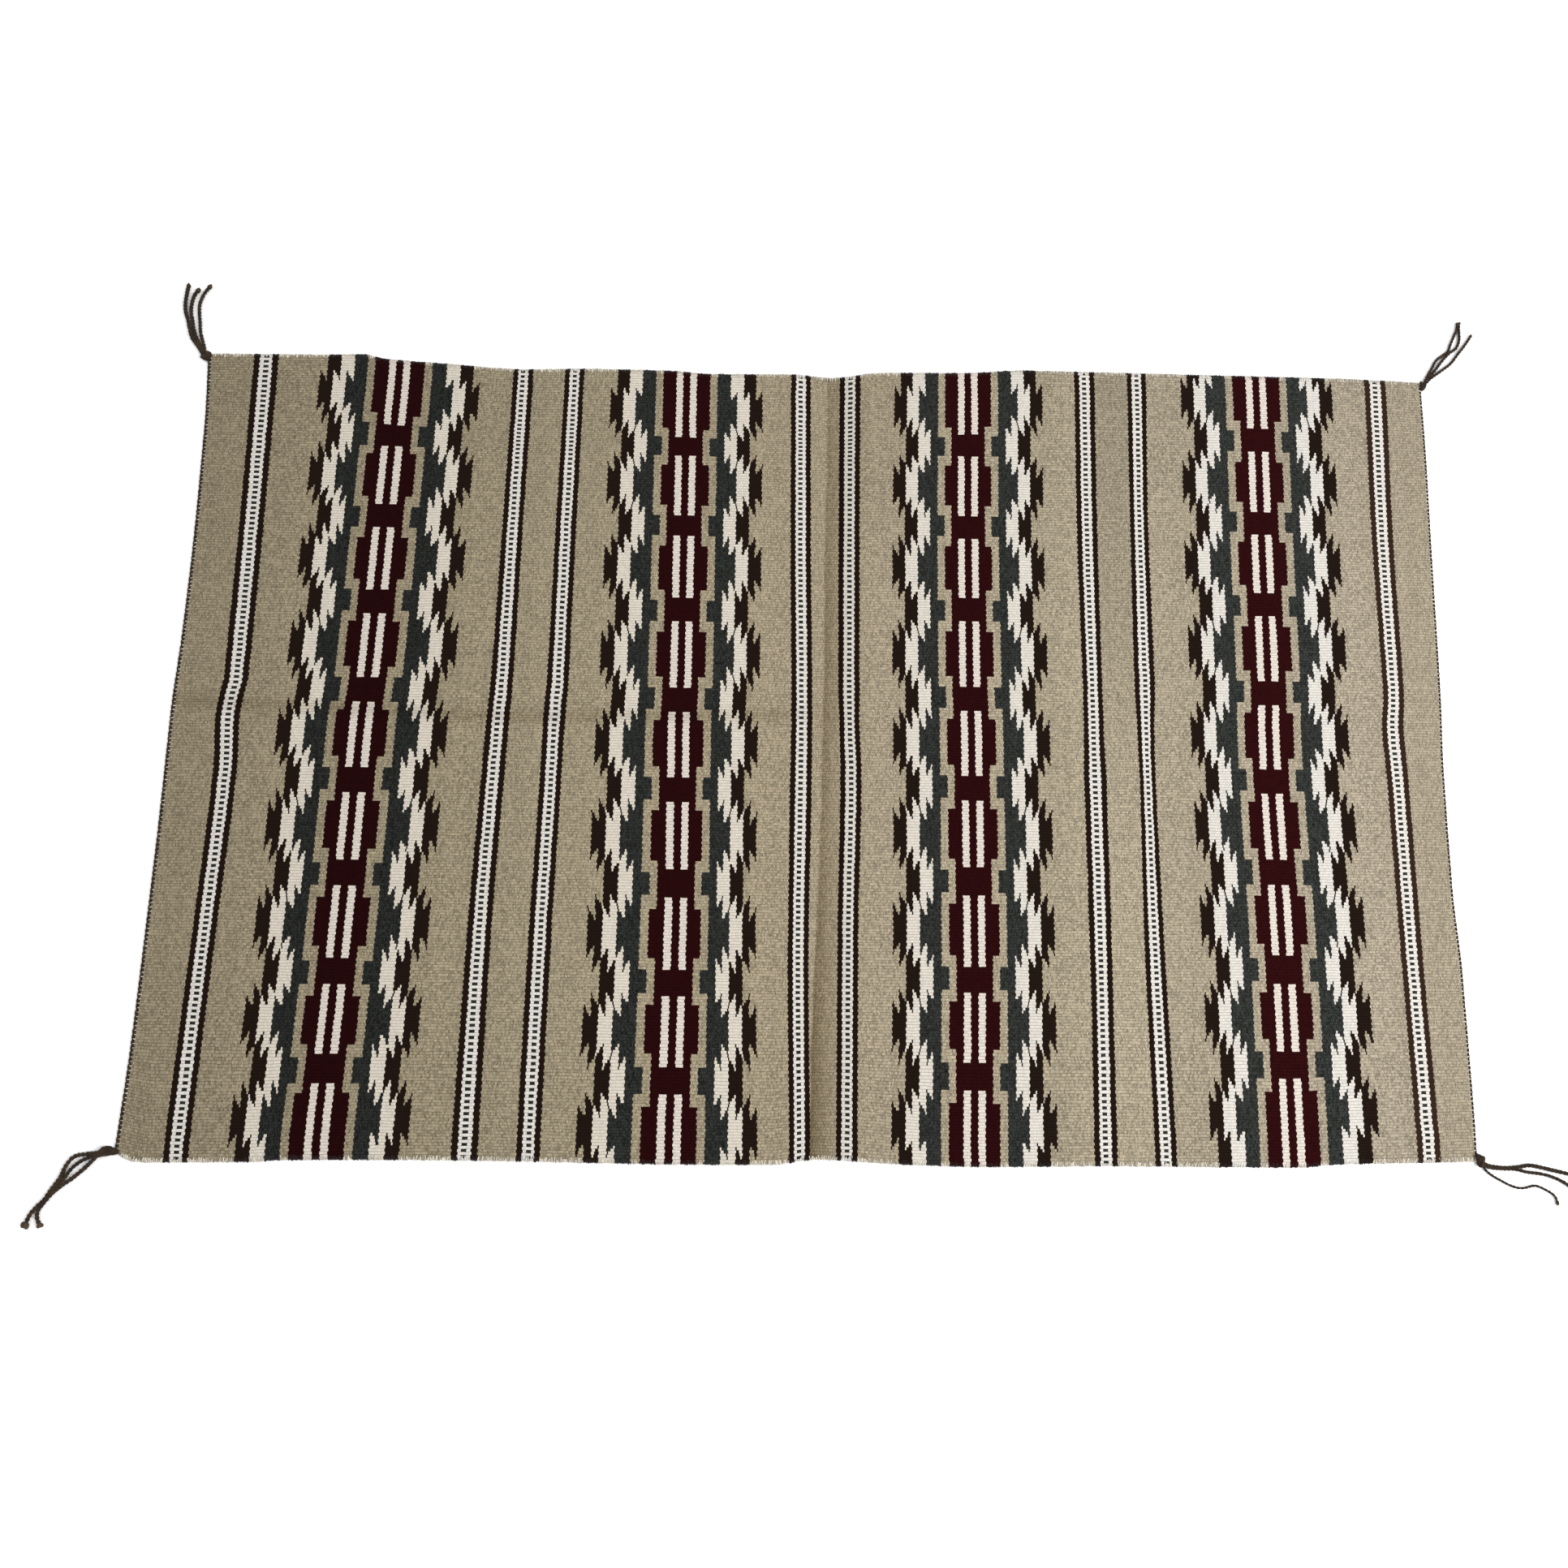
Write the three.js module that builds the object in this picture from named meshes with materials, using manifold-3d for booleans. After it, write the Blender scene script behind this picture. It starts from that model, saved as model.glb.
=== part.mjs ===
// A hand-woven wool rug lying flat: one cloth, a twined cord along each warp end and a knotted tassel
// at each corner. Millimetres, +Z up. X runs along the warp from the left end to the right end, Y along
// the weft from the near side to the far side, and the underside rests on z = 0. The origin is under the
// middle of the whole rug's box.

import * as THREE from 'three';
import { mergeVertices } from 'three/addons/utils/BufferGeometryUtils.js';
import Module from 'manifold-3d';

const wasm = await Module();
wasm.setup();

// Driving dimensions of the cloth
const clothThick = 3.5;
const halfWidth = 750; // nominal half length along the warp
const halfDepth = 475; // nominal half length along the weft
const edgeInset = 4; // the rounded rim
const rimDrop = 0.9;
const columnPitch = 36;
const rowPitch = 34;
const pieceGap = 0.3; // between the cloth, the cords and the knots

// The two creases left by folding the rug in quarters, as troughs in the top face
const lengthCrease = { x: 14, reach: 9, depth: 1.3 };
const crossCrease = { y: 31, slant: 0.021, reach: 12, depth: 0.5, fadeFrom: -60, fadeTo: 420 };
const troughSteps = [-2.6, -1.3, -0.6, 0, 0.6, 1.3, 2.6]; // grid lines across a trough, in reaches

// Low rises where the cloth doesn't lie quite flat
const rises = [
  { x: -640, y: 300, spread: 150, height: 0.5 },
  { x: -60, y: -330, spread: 120, height: 0.6 },
  { x: 95, y: 330, spread: 110, height: 0.5 },
  { x: 430, y: -40, spread: 170, height: 0.6 },
  { x: 640, y: -380, spread: 120, height: 0.4 },
];

// The uneven outline of the woven cloth, each edge from corner to corner
const farEdge = [
  { x: -743.4, y: 475.4 }, { x: -600, y: 478 }, { x: -556, y: 479.5 }, { x: -533, y: 474.5 },
  { x: -460, y: 470 }, { x: -366, y: 465 }, { x: -266, y: 468 }, { x: -178, y: 468 },
  { x: -135, y: 465 }, { x: -27, y: 467 }, { x: 17, y: 463.5 }, { x: 80, y: 472 },
  { x: 187, y: 475 }, { x: 268, y: 480.5 }, { x: 646, y: 480 }, { x: 756.4, y: 477.4 },
];
const nearEdge = [
  { x: -754.4, y: -481 }, { x: -733, y: -488.5 }, { x: -620, y: -487 }, { x: -558, y: -484 },
  { x: -371, y: -482.5 }, { x: -140, y: -484 }, { x: -42, y: -483 }, { x: 12, y: -477 },
  { x: 102, y: -481 }, { x: 182, y: -482.5 }, { x: 336, y: -480 }, { x: 544, y: -479 },
  { x: 590, y: -475 }, { x: 691, y: -472 }, { x: 744.1, y: -469.8 },
];
const leftEdge = [
  { y: -481, x: -754.4 }, { y: -366, x: -749 }, { y: -230, x: -746 }, { y: -100, x: -744 },
  { y: 20, x: -743.5 }, { y: 112, x: -740 }, { y: 240, x: -738 }, { y: 376, x: -739 },
  { y: 475.4, x: -743.4 },
];
const rightEdge = [
  { y: -469.8, x: 744.1 }, { y: -418, x: 745.3 }, { y: -262, x: 745.7 }, { y: -168, x: 742.5 },
  { y: -23, x: 744 }, { y: 67, x: 748 }, { y: 240, x: 752 }, { y: 410, x: 756 },
  { y: 477.4, x: 756.4 },
];

// Twined end cords
const endCord = { radius: 1.5, sides: 8, step: 12.5, pulse: 0.12, routePoints: 18 };
const cordEnds = {
  left: { near: -474.0, far: 467.2 },
  right: { near: -459.8, far: 469.2 },
};

// Corner tassels: a knot, and the strands that run out of it over the floor
const strandSides = { foot: 0.5, top: 0.33, rise: 0.85 }; // half its foot, half its top, its height, by width
const strandSwell = { wide: 1.04, narrow: 0.94, tip: 0.85 }; // the plies' swells, as shares of the width
const strandStep = 7;
const knotRings = { along: 11, around: 12, lobes: 3, lobeRise: 0.13, plumpness: 0.75, middle: 0.47 };
const tassels = [
  {
    name: 'tassel_far_left',
    knot: { x: -749.1, y: 472.2, long: 6.2, wide: 5.6, high: 8.4, turn: 70, wraps: 1.4 },
    strands: [
      { wide: 3.7, route: [[-752.6, 474], [-758, 482.5], [-768.4, 497], [-772.2, 507.5], [-775.6, 520.1],
        [-779.9, 532.6], [-781.1, 544.3], [-780.2, 560.3], [-779.2, 569.3]] },
      { wide: 3.5, route: [[-751.4, 474], [-756.5, 484], [-763.4, 497.2], [-767.3, 507.6], [-770.6, 521.5],
        [-773.3, 532.8], [-773, 545.6], [-770.3, 556.3], [-766.2, 562.5]] },
      { wide: 3.2, route: [[-750.4, 474], [-752.4, 484], [-755.2, 492.1], [-759, 504.7], [-761, 518.3],
        [-762.7, 528.9], [-763.6, 541.6], [-761.6, 551.2], [-758.5, 558.8], [-752.7, 568]] },
    ],
  },
  {
    name: 'tassel_far_right',
    knot: { x: 761.0, y: 474.9, long: 5.6, wide: 4.3, high: 7.6, turn: 58, wraps: 1.2 },
    strands: [
      { wide: 2.6, route: [[763.6, 478], [768, 486.5], [776, 499.6], [781, 508.6], [789.8, 517.4],
        [796, 523.4], [801.6, 531.6], [806.4, 543.5], [809.6, 553], [811, 560]] },
      { wide: 2.6, route: [[764.2, 477], [769.5, 485], [778.6, 495.2], [785.6, 502.8], [793, 510.6],
        [801.6, 518.6], [808.4, 527], [813, 536.7], [814.2, 545], [814.4, 553], [816, 561]] },
      { wide: 2.6, route: [[764.6, 476], [772, 484], [780.6, 490.6], [789, 496.8], [800.4, 506.4],
        [809.6, 518.4], [817, 527.6], [824.6, 538.2], [829.6, 545.8]] },
    ],
  },
  {
    name: 'tassel_near_right',
    knot: { x: 749.4, y: -467.6, long: 8, wide: 4.9, high: 8.8, turn: 105, wraps: 1.6 },
    strands: [
      { wide: 3.3, route: [[751.6, -470.5], [757, -473.6], [765, -475.4], [776.9, -476.4], [791.5, -475.9],
        [805.2, -474.4], [817.4, -476.3], [829.4, -479], [847.9, -483.1], [858.5, -486.2]] },
      { wide: 2.8, route: [[751.8, -472], [756.4, -477.2], [765, -480], [777, -481.1], [791.4, -480.9],
        [801.1, -482.3], [816.8, -483.4], [828.7, -486.2], [839.6, -490.8], [846.7, -495], [853, -499.6]] },
      { wide: 2.2, route: [[751.2, -472], [754.6, -479], [762, -485.6], [772.2, -491.4], [781, -495.9],
        [790.5, -498.9], [797.2, -498.9], [809.8, -496.3], [819.6, -499.7], [831, -507.4], [833.5, -516.5]] },
    ],
  },
  {
    name: 'tassel_near_left',
    knot: { x: -765.8, y: -478.6, long: 11.6, wide: 3.9, high: 6.4, turn: 190.5, wraps: 2.6 },
    strands: [
      { wide: 3.4, route: [[-773, -479.6], [-783, -480.9], [-800.1, -484.4], [-808.1, -494.2], [-814, -505.3],
        [-823.9, -517.2], [-829.4, -527.3], [-834.9, -535.4], [-840.4, -545.4], [-844.6, -557.2]] },
      { wide: 3.0, route: [[-773, -479.8], [-783, -484.4], [-793, -489.4], [-801.6, -496.8], [-807.4, -505.2],
        [-812.6, -512.6], [-817, -517.8]] },
      { wide: 3.4, route: [[-773, -480.2], [-779.4, -487.2], [-787, -495.6], [-800.3, -507.6], [-810.6, -517.4],
        [-818, -525.6], [-825.2, -535], [-832, -543], [-832.3, -549.6], [-828.3, -557.6]] },
    ],
  },
];

const brownYarn = new THREE.MeshStandardMaterial({ color: 0x32261c, roughness: 0.95, metalness: 0 });
const greigeYarn = new THREE.MeshStandardMaterial({ color: 0x9a8d74, roughness: 0.97, metalness: 0 });

// A smooth curve through a table's rows: the value of one column at a place in another, without overshoot.
function readTable(rows, from, to, place) {
  const last = rows.length - 1;
  let k = 0;
  while (k < last - 1 && place > rows[k + 1][from]) k += 1;
  const slope = (i) => (rows[i + 1][to] - rows[i][to]) / (rows[i + 1][from] - rows[i][from]);
  const tangent = (i) => {
    if (i === 0 || i === last) return slope(Math.min(i, last - 1));
    const before = slope(i - 1);
    const after = slope(i);
    return before * after > 0 ? (2 * before * after) / (before + after) : 0;
  };
  const span = rows[k + 1][from] - rows[k][from];
  const t = THREE.MathUtils.clamp((place - rows[k][from]) / span, 0, 1);
  const t2 = t * t;
  const t3 = t2 * t;
  return (2 * t3 - 3 * t2 + 1) * rows[k][to] + (t3 - 2 * t2 + t) * span * tangent(k)
    + (3 * t2 - 2 * t3) * rows[k + 1][to] + (t3 - t2) * span * tangent(k + 1);
}

// Where a point of the loom's own rectangle lies on the floor: the four uneven edges blended into each other.
function onFloor(loomX, loomY) {
  const a = (loomX + halfWidth) / (2 * halfWidth);
  const b = (loomY + halfDepth) / (2 * halfDepth);
  const mix = THREE.MathUtils.lerp;
  const corner = { nl: nearEdge[0], nr: nearEdge.at(-1), fl: farEdge[0], fr: farEdge.at(-1) };
  const nearX = mix(corner.nl.x, corner.nr.x, a);
  const farX = mix(corner.fl.x, corner.fr.x, a);
  const leftY = mix(corner.nl.y, corner.fl.y, b);
  const rightY = mix(corner.nr.y, corner.fr.y, b);
  const leftX = readTable(leftEdge, 'y', 'x', leftY);
  const rightX = readTable(rightEdge, 'y', 'x', rightY);
  const nearY = readTable(nearEdge, 'x', 'y', nearX);
  const farY = readTable(farEdge, 'x', 'y', farX);
  const plainX = mix(mix(corner.nl.x, corner.fl.x, b), mix(corner.nr.x, corner.fr.x, b), a);
  const plainY = mix(mix(corner.nl.y, corner.nr.y, a), mix(corner.fl.y, corner.fr.y, a), b);
  return {
    x: mix(nearX, farX, b) + mix(leftX, rightX, a) - plainX,
    y: mix(nearY, farY, b) + mix(leftY, rightY, a) - plainY,
  };
}

// Height of the top face over the floor at a point of the loom's rectangle.
function topHeight(loomX, loomY) {
  const across = Math.abs(loomX - lengthCrease.x) / lengthCrease.reach;
  const crossY = crossCrease.y + crossCrease.slant * loomX;
  const along = Math.abs(loomY - crossY) / crossCrease.reach;
  const fade = 1 - THREE.MathUtils.smoothstep(loomX, crossCrease.fadeFrom, crossCrease.fadeTo);
  let height = clothThick;
  height -= lengthCrease.depth * Math.exp(-across);
  height -= crossCrease.depth * Math.exp(-along) * fade;
  for (const rise of rises) {
    const off = Math.hypot(loomX - rise.x, loomY - rise.y) / rise.spread;
    height += rise.height * Math.exp(-off * off);
  }
  return height;
}

// Grid lines from one side to the other: even ones, the rims, and closer ones across the trough.
function gridLines(half, pitch, trough, reach) {
  const clear = reach * troughSteps.at(-1) + pitch / 3;
  const count = Math.round((2 * half) / pitch);
  const lines = [-half, -half + edgeInset, half - edgeInset, half];
  for (let i = 1; i < count; i += 1) {
    const line = -half + (2 * half * i) / count;
    if (Math.abs(line - trough) > clear) lines.push(line);
  }
  for (const step of troughSteps) lines.push(trough + step * reach);
  return lines.sort((p, q) => p - q);
}

function indexedGeometry(points, faces) {
  const geometry = new THREE.BufferGeometry();
  geometry.setAttribute('position', new THREE.Float32BufferAttribute(points.flat(), 3));
  geometry.setIndex(faces.flat());
  return geometry;
}

// The cloth: a gridded top face, a rim wall and a flat underside.
function makeCloth() {
  const columns = gridLines(halfWidth, columnPitch, lengthCrease.x, lengthCrease.reach);
  const rows = gridLines(halfDepth, rowPitch, crossCrease.y, crossCrease.reach);
  const lastColumn = columns.length - 1;
  const lastRow = rows.length - 1;
  const points = [];
  const faces = [];
  for (let j = 0; j <= lastRow; j += 1) {
    for (let i = 0; i <= lastColumn; i += 1) {
      const { x, y } = onFloor(columns[i], rows[j]);
      const onRim = i === 0 || j === 0 || i === lastColumn || j === lastRow;
      points.push([x, y, topHeight(columns[i], rows[j]) - (onRim ? rimDrop : 0)]);
    }
  }
  const at = (i, j) => j * (lastColumn + 1) + i;
  for (let j = 0; j < lastRow; j += 1) {
    for (let i = 0; i < lastColumn; i += 1) {
      faces.push([at(i, j), at(i + 1, j), at(i + 1, j + 1)], [at(i, j), at(i + 1, j + 1), at(i, j + 1)]);
    }
  }
  const rim = [];
  for (let i = 0; i < lastColumn; i += 1) rim.push(at(i, 0));
  for (let j = 0; j < lastRow; j += 1) rim.push(at(lastColumn, j));
  for (let i = lastColumn; i > 0; i -= 1) rim.push(at(i, lastRow));
  for (let j = lastRow; j > 0; j -= 1) rim.push(at(0, j));
  const foot = points.length;
  for (const top of rim) points.push([points[top][0], points[top][1], 0]);
  rim.forEach((top, k) => {
    const next = (k + 1) % rim.length;
    faces.push([top, foot + k, foot + next], [top, foot + next, rim[next]]);
  });
  const outline = rim.map((top) => new THREE.Vector2(points[top][0], points[top][1]));
  for (const [p, q, r] of THREE.ShapeUtils.triangulateShape(outline, [])) {
    faces.push([foot + p, foot + r, foot + q]);
  }
  return indexedGeometry(points, faces);
}

// A closed body swept over the floor. Each ring's points are given sideways and upwards from the path.
function sweep(path, steps, ringAt) {
  const points = [];
  const faces = [];
  let sides = 0;
  for (let k = 0; k <= steps; k += 1) {
    const place = path.getPointAt(k / steps);
    const ahead = path.getTangentAt(k / steps);
    const flat = Math.hypot(ahead.x, ahead.y);
    const ring = ringAt(k);
    sides = ring.length;
    for (const { side, up } of ring) {
      points.push([place.x - (ahead.y / flat) * side, place.y + (ahead.x / flat) * side, up]);
    }
  }
  for (let k = 0; k < steps; k += 1) {
    for (let s = 0; s < sides; s += 1) {
      const p = k * sides + s;
      const q = k * sides + ((s + 1) % sides);
      faces.push([p, p + sides, q + sides], [p, q + sides, q]);
    }
  }
  const end = steps * sides;
  for (let s = 1; s < sides - 1; s += 1) faces.push([0, s, s + 1], [end, end + s + 1, end + s]);
  return indexedGeometry(points, faces);
}

function curveThrough(route) {
  return new THREE.CatmullRomCurve3(route.map(([x, y]) => new THREE.Vector3(x, y, 0)), false, 'centripetal');
}

// An end cord: it runs beside the cloth's warp end, its two strands showing as low swells.
function makeEndCord(edge, ends, outward) {
  const offset = outward * (endCord.radius * (1 + endCord.pulse) + pieceGap);
  const route = [];
  for (let k = 0; k < endCord.routePoints; k += 1) {
    const y = THREE.MathUtils.lerp(ends.near, ends.far, k / (endCord.routePoints - 1));
    route.push([readTable(edge, 'y', 'x', y) + offset, y]);
  }
  const steps = Math.round((ends.far - ends.near) / endCord.step);
  const centre = endCord.radius * (1 + endCord.pulse);
  return sweep(curveThrough(route), steps, (k) => {
    const radius = endCord.radius * (1 + endCord.pulse * (k % 2 === 0 ? 1 : -1));
    return Array.from({ length: endCord.sides }, (unused, s) => {
      const turn = (2 * Math.PI * s) / endCord.sides;
      return { side: -radius * Math.cos(turn), up: centre + radius * Math.sin(turn) };
    });
  });
}

// One strand of a tassel: four sides, its foot level on the floor, with a slightly frayed, wider end.
function makeStrand({ wide, route }) {
  const path = curveThrough(route);
  const steps = Math.max(8, Math.round(path.getLength() / strandStep));
  return sweep(path, steps, (k) => {
    const swell = k % 2 === 0 ? strandSwell.wide : strandSwell.narrow;
    const width = wide * (k === steps ? strandSwell.tip : swell);
    return [
      { side: -width * strandSides.foot, up: 0 },
      { side: -width * strandSides.top, up: width * strandSides.rise },
      { side: width * strandSides.top, up: width * strandSides.rise },
      { side: width * strandSides.foot, up: 0 },
    ];
  });
}

// A knot: an egg-shaped body with the strands' turns raised round it, resting on a small flat.
function makeKnot({ x, y, long, wide, high, turn, wraps }) {
  const { along, around, lobes, lobeRise, plumpness } = knotRings;
  const points = [];
  const faces = [];
  const heading = THREE.MathUtils.degToRad(turn);
  const place = (forward, side, up) => {
    points.push([
      x + forward * Math.cos(heading) - side * Math.sin(heading),
      y + forward * Math.sin(heading) + side * Math.cos(heading),
      Math.max(0, up),
    ]);
  };
  const middle = high * knotRings.middle;
  place(-long, 0, middle);
  for (let k = 1; k < along; k += 1) {
    const t = (Math.PI * k) / along;
    for (let s = 0; s < around; s += 1) {
      const round = (2 * Math.PI * s) / around;
      const lump = 1 - lobeRise * (0.5 - 0.5 * Math.cos(lobes * round - wraps * 2 * t));
      const girth = lump * Math.sin(t) ** plumpness;
      const up = middle + (high - middle) * girth * Math.sin(round);
      place(-long * Math.cos(t), wide * girth * Math.cos(round), up);
    }
  }
  place(long, 0, middle);
  const tip = points.length - 1;
  for (let s = 0; s < around; s += 1) {
    const next = (s + 1) % around;
    faces.push([0, 1 + next, 1 + s]);
    for (let k = 0; k < along - 2; k += 1) {
      const p = 1 + k * around + s;
      const q = 1 + k * around + next;
      faces.push([p, q, q + around], [p, q + around, p + around]);
    }
    const lastRing = 1 + (along - 2) * around;
    faces.push([tip, lastRing + s, lastRing + next]);
  }
  return indexedGeometry(points, faces);
}

function toSolid(geometry) {
  const merged = mergeVertices(geometry, 1e-4);
  return new wasm.Manifold(new wasm.Mesh({
    numProp: 3,
    vertProperties: merged.attributes.position.array,
    triVerts: new Uint32Array(merged.index.array),
  }));
}

function fromSolid(solid) {
  const mesh = solid.getMesh();
  const geometry = new THREE.BufferGeometry();
  geometry.setAttribute('position', new THREE.BufferAttribute(mesh.vertProperties, 3));
  geometry.setIndex(new THREE.BufferAttribute(mesh.triVerts, 1));
  return geometry;
}

function makeTassel({ knot, strands }) {
  let solid = toSolid(makeKnot(knot));
  for (const strand of strands) solid = solid.add(toSolid(makeStrand(strand)));
  return fromSolid(solid);
}

const rug = new THREE.Group();

function addPiece(name, geometry, material) {
  const piece = new THREE.Mesh(geometry, material);
  piece.name = name;
  rug.add(piece);
}

addPiece('rug_cloth', makeCloth(), greigeYarn);
addPiece('end_cord_left', makeEndCord(leftEdge, cordEnds.left, -1), brownYarn.clone());
addPiece('end_cord_right', makeEndCord(rightEdge, cordEnds.right, 1), brownYarn.clone());
for (const tassel of tassels) addPiece(tassel.name, makeTassel(tassel), brownYarn.clone());

// The origin goes under the middle of the whole rug's box.
const middle = new THREE.Box3().setFromObject(rug).getCenter(new THREE.Vector3());
rug.position.set(-middle.x, -middle.y, 0);

export default rug;
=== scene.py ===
# A hand-woven wool rug lying flat on a pale floor. X runs along the warp, Y along the weft, +Z up.
# The tables hold millimetres, measured on the floor from the middle of the woven cloth.
# Everything is moved by "shift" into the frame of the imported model, and made in metres.

import math

import bpy
import numpy as np
from mathutils import Matrix, Vector


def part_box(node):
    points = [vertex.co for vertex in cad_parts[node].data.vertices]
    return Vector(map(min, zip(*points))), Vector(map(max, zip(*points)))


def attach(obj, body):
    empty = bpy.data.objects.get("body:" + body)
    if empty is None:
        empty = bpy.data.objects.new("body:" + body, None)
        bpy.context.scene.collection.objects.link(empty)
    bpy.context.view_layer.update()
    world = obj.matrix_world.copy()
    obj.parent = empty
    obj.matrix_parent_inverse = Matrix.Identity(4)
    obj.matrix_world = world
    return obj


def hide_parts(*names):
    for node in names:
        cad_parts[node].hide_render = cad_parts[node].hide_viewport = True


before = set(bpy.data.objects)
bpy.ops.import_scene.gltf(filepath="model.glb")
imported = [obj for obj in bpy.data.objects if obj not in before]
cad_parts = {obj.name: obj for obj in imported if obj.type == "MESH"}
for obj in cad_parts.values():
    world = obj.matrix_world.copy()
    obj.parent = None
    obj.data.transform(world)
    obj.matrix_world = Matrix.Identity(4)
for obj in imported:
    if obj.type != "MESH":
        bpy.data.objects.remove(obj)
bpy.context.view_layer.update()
print("packed model loaded:", len(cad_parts), "nodes")


# helpers that build node trees

def feed(tree, socket, value):
    if isinstance(value, bpy.types.NodeSocket):
        tree.links.new(value, socket)
    else:
        socket.default_value = value


def put(tree, kind, inputs=None, **settings):
    node = tree.nodes.new(kind)
    for name, value in settings.items():
        setattr(node, name, value)
    for key, value in (inputs or {}).items():
        feed(tree, node.inputs[key], value)
    return node


def calc(tree, operation, *values):
    node = put(tree, "ShaderNodeMath", operation=operation)
    for socket, value in zip(node.inputs, values):
        feed(tree, socket, value)
    return node.outputs[0]


def vectorCalc(tree, operation, *values):
    node = put(tree, "ShaderNodeVectorMath", operation=operation)
    sockets = [node.inputs[0], node.inputs["Scale"]] if operation == "SCALE" else node.inputs
    for socket, value in zip(sockets, values):
        feed(tree, socket, value)
    return node.outputs["Value" if operation in ("DOT_PRODUCT", "LENGTH") else "Vector"]


def blendValue(tree, factor, off, on):
    node = put(tree, "ShaderNodeMix", {0: factor, 2: off, 3: on}, data_type="FLOAT")
    return node.outputs[0]


def blendColor(tree, factor, off, on, way="MIX"):
    node = put(tree, "ShaderNodeMix", {0: factor, 6: off, 7: on}, data_type="RGBA", blend_type=way)
    return node.outputs[2]


def ramp(tree, value, low, high, lowOut=0.0, highOut=1.0):
    node = put(tree, "ShaderNodeMapRange", {0: value, 1: low, 2: high, 3: lowOut, 4: highOut},
               interpolation_type="SMOOTHSTEP")
    return node.outputs[0]


def noiseAt(tree, spot, scale, detail, **more):
    return put(tree, "ShaderNodeTexNoise", {
        "Vector": spot, "Scale": scale, "Detail": detail, **more}).outputs


def attribute(tree, name):
    return put(tree, "ShaderNodeAttribute", attribute_name=name).outputs


def joined(tree, x=0.0, y=0.0, z=0.0):
    return put(tree, "ShaderNodeCombineXYZ", {0: x, 1: y, 2: z}).outputs[0]


def apart(tree, spot):
    return put(tree, "ShaderNodeSeparateXYZ", {0: spot}).outputs


def newGroup(name, kind, inputs, outputs):
    tree = bpy.data.node_groups.new(name, kind)
    for socketName, socketType, start in inputs:
        socket = tree.interface.new_socket(name=socketName, in_out="INPUT", socket_type=socketType)
        if start is not None:
            socket.default_value = start
    for socketName, socketType in outputs:
        tree.interface.new_socket(name=socketName, in_out="OUTPUT", socket_type=socketType)
    given = tree.nodes.new("NodeGroupInput").outputs
    result = tree.nodes.new("NodeGroupOutput").inputs
    return tree, given, result


def curveOf(tree, value, table):
    # a value read through a table of pairs
    lowIn, highIn = table[0][0], table[-1][0]
    outs = [out for _, out in table]
    lowOut, highOut = min(outs), max(outs)
    node = put(tree, "ShaderNodeFloatCurve")
    points = node.mapping.curves[0].points
    for number, (at, out) in enumerate(table):
        spot = ((at - lowIn) / (highIn - lowIn), (out - lowOut) / (highOut - lowOut))
        if number in (0, len(table) - 1):
            point = points[0 if number == 0 else -1]
            point.location = spot
        else:
            point = points.new(*spot)
        point.handle_type = "VECTOR"
    node.mapping.update()
    scaled = calc(tree, "DIVIDE", calc(tree, "SUBTRACT", value, float(lowIn)), float(highIn - lowIn))
    feed(tree, node.inputs["Value"], calc(tree, "MINIMUM", calc(tree, "MAXIMUM", scaled, 0.0), 1.0))
    return calc(tree, "MULTIPLY_ADD", node.outputs[0], float(highOut - lowOut), float(lowOut))


def arrange(tree):
    # columns from left to right by how deep each node lies, so that the tree can be read
    depth = {node.name: 0 for node in tree.nodes}
    for _ in range(len(tree.nodes)):
        moved = False
        for link in tree.links:
            if depth[link.to_node.name] <= depth[link.from_node.name]:
                depth[link.to_node.name] = depth[link.from_node.name] + 1
                moved = True
        if not moved:
            break
    used = {}
    for node in tree.nodes:
        column = depth[node.name]
        node.location = (column * 190, -used.get(column, 0) * 170)
        used[column] = used.get(column, 0) + 1


def useGroup(tree, group, inputs):
    node = put(tree, "ShaderNodeGroup", node_tree=group)
    for key, value in inputs.items():
        feed(tree, node.inputs[key], value)
    return node.outputs


lightLevel = 1.58  # how much brighter than full white the lamps light the floor


def dye(red, green, blue):
    # a colour as it looks under the studio's light, 0 to 255, as the linear colour that a shader takes
    def straight(level):
        level /= 255
        return (level / 12.92 if level <= 0.04045 else ((level + 0.055) / 1.055) ** 2.4) / lightLevel
    return (straight(red), straight(green), straight(blue), 1.0)


# where the loom's own rectangle lies on the floor

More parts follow.
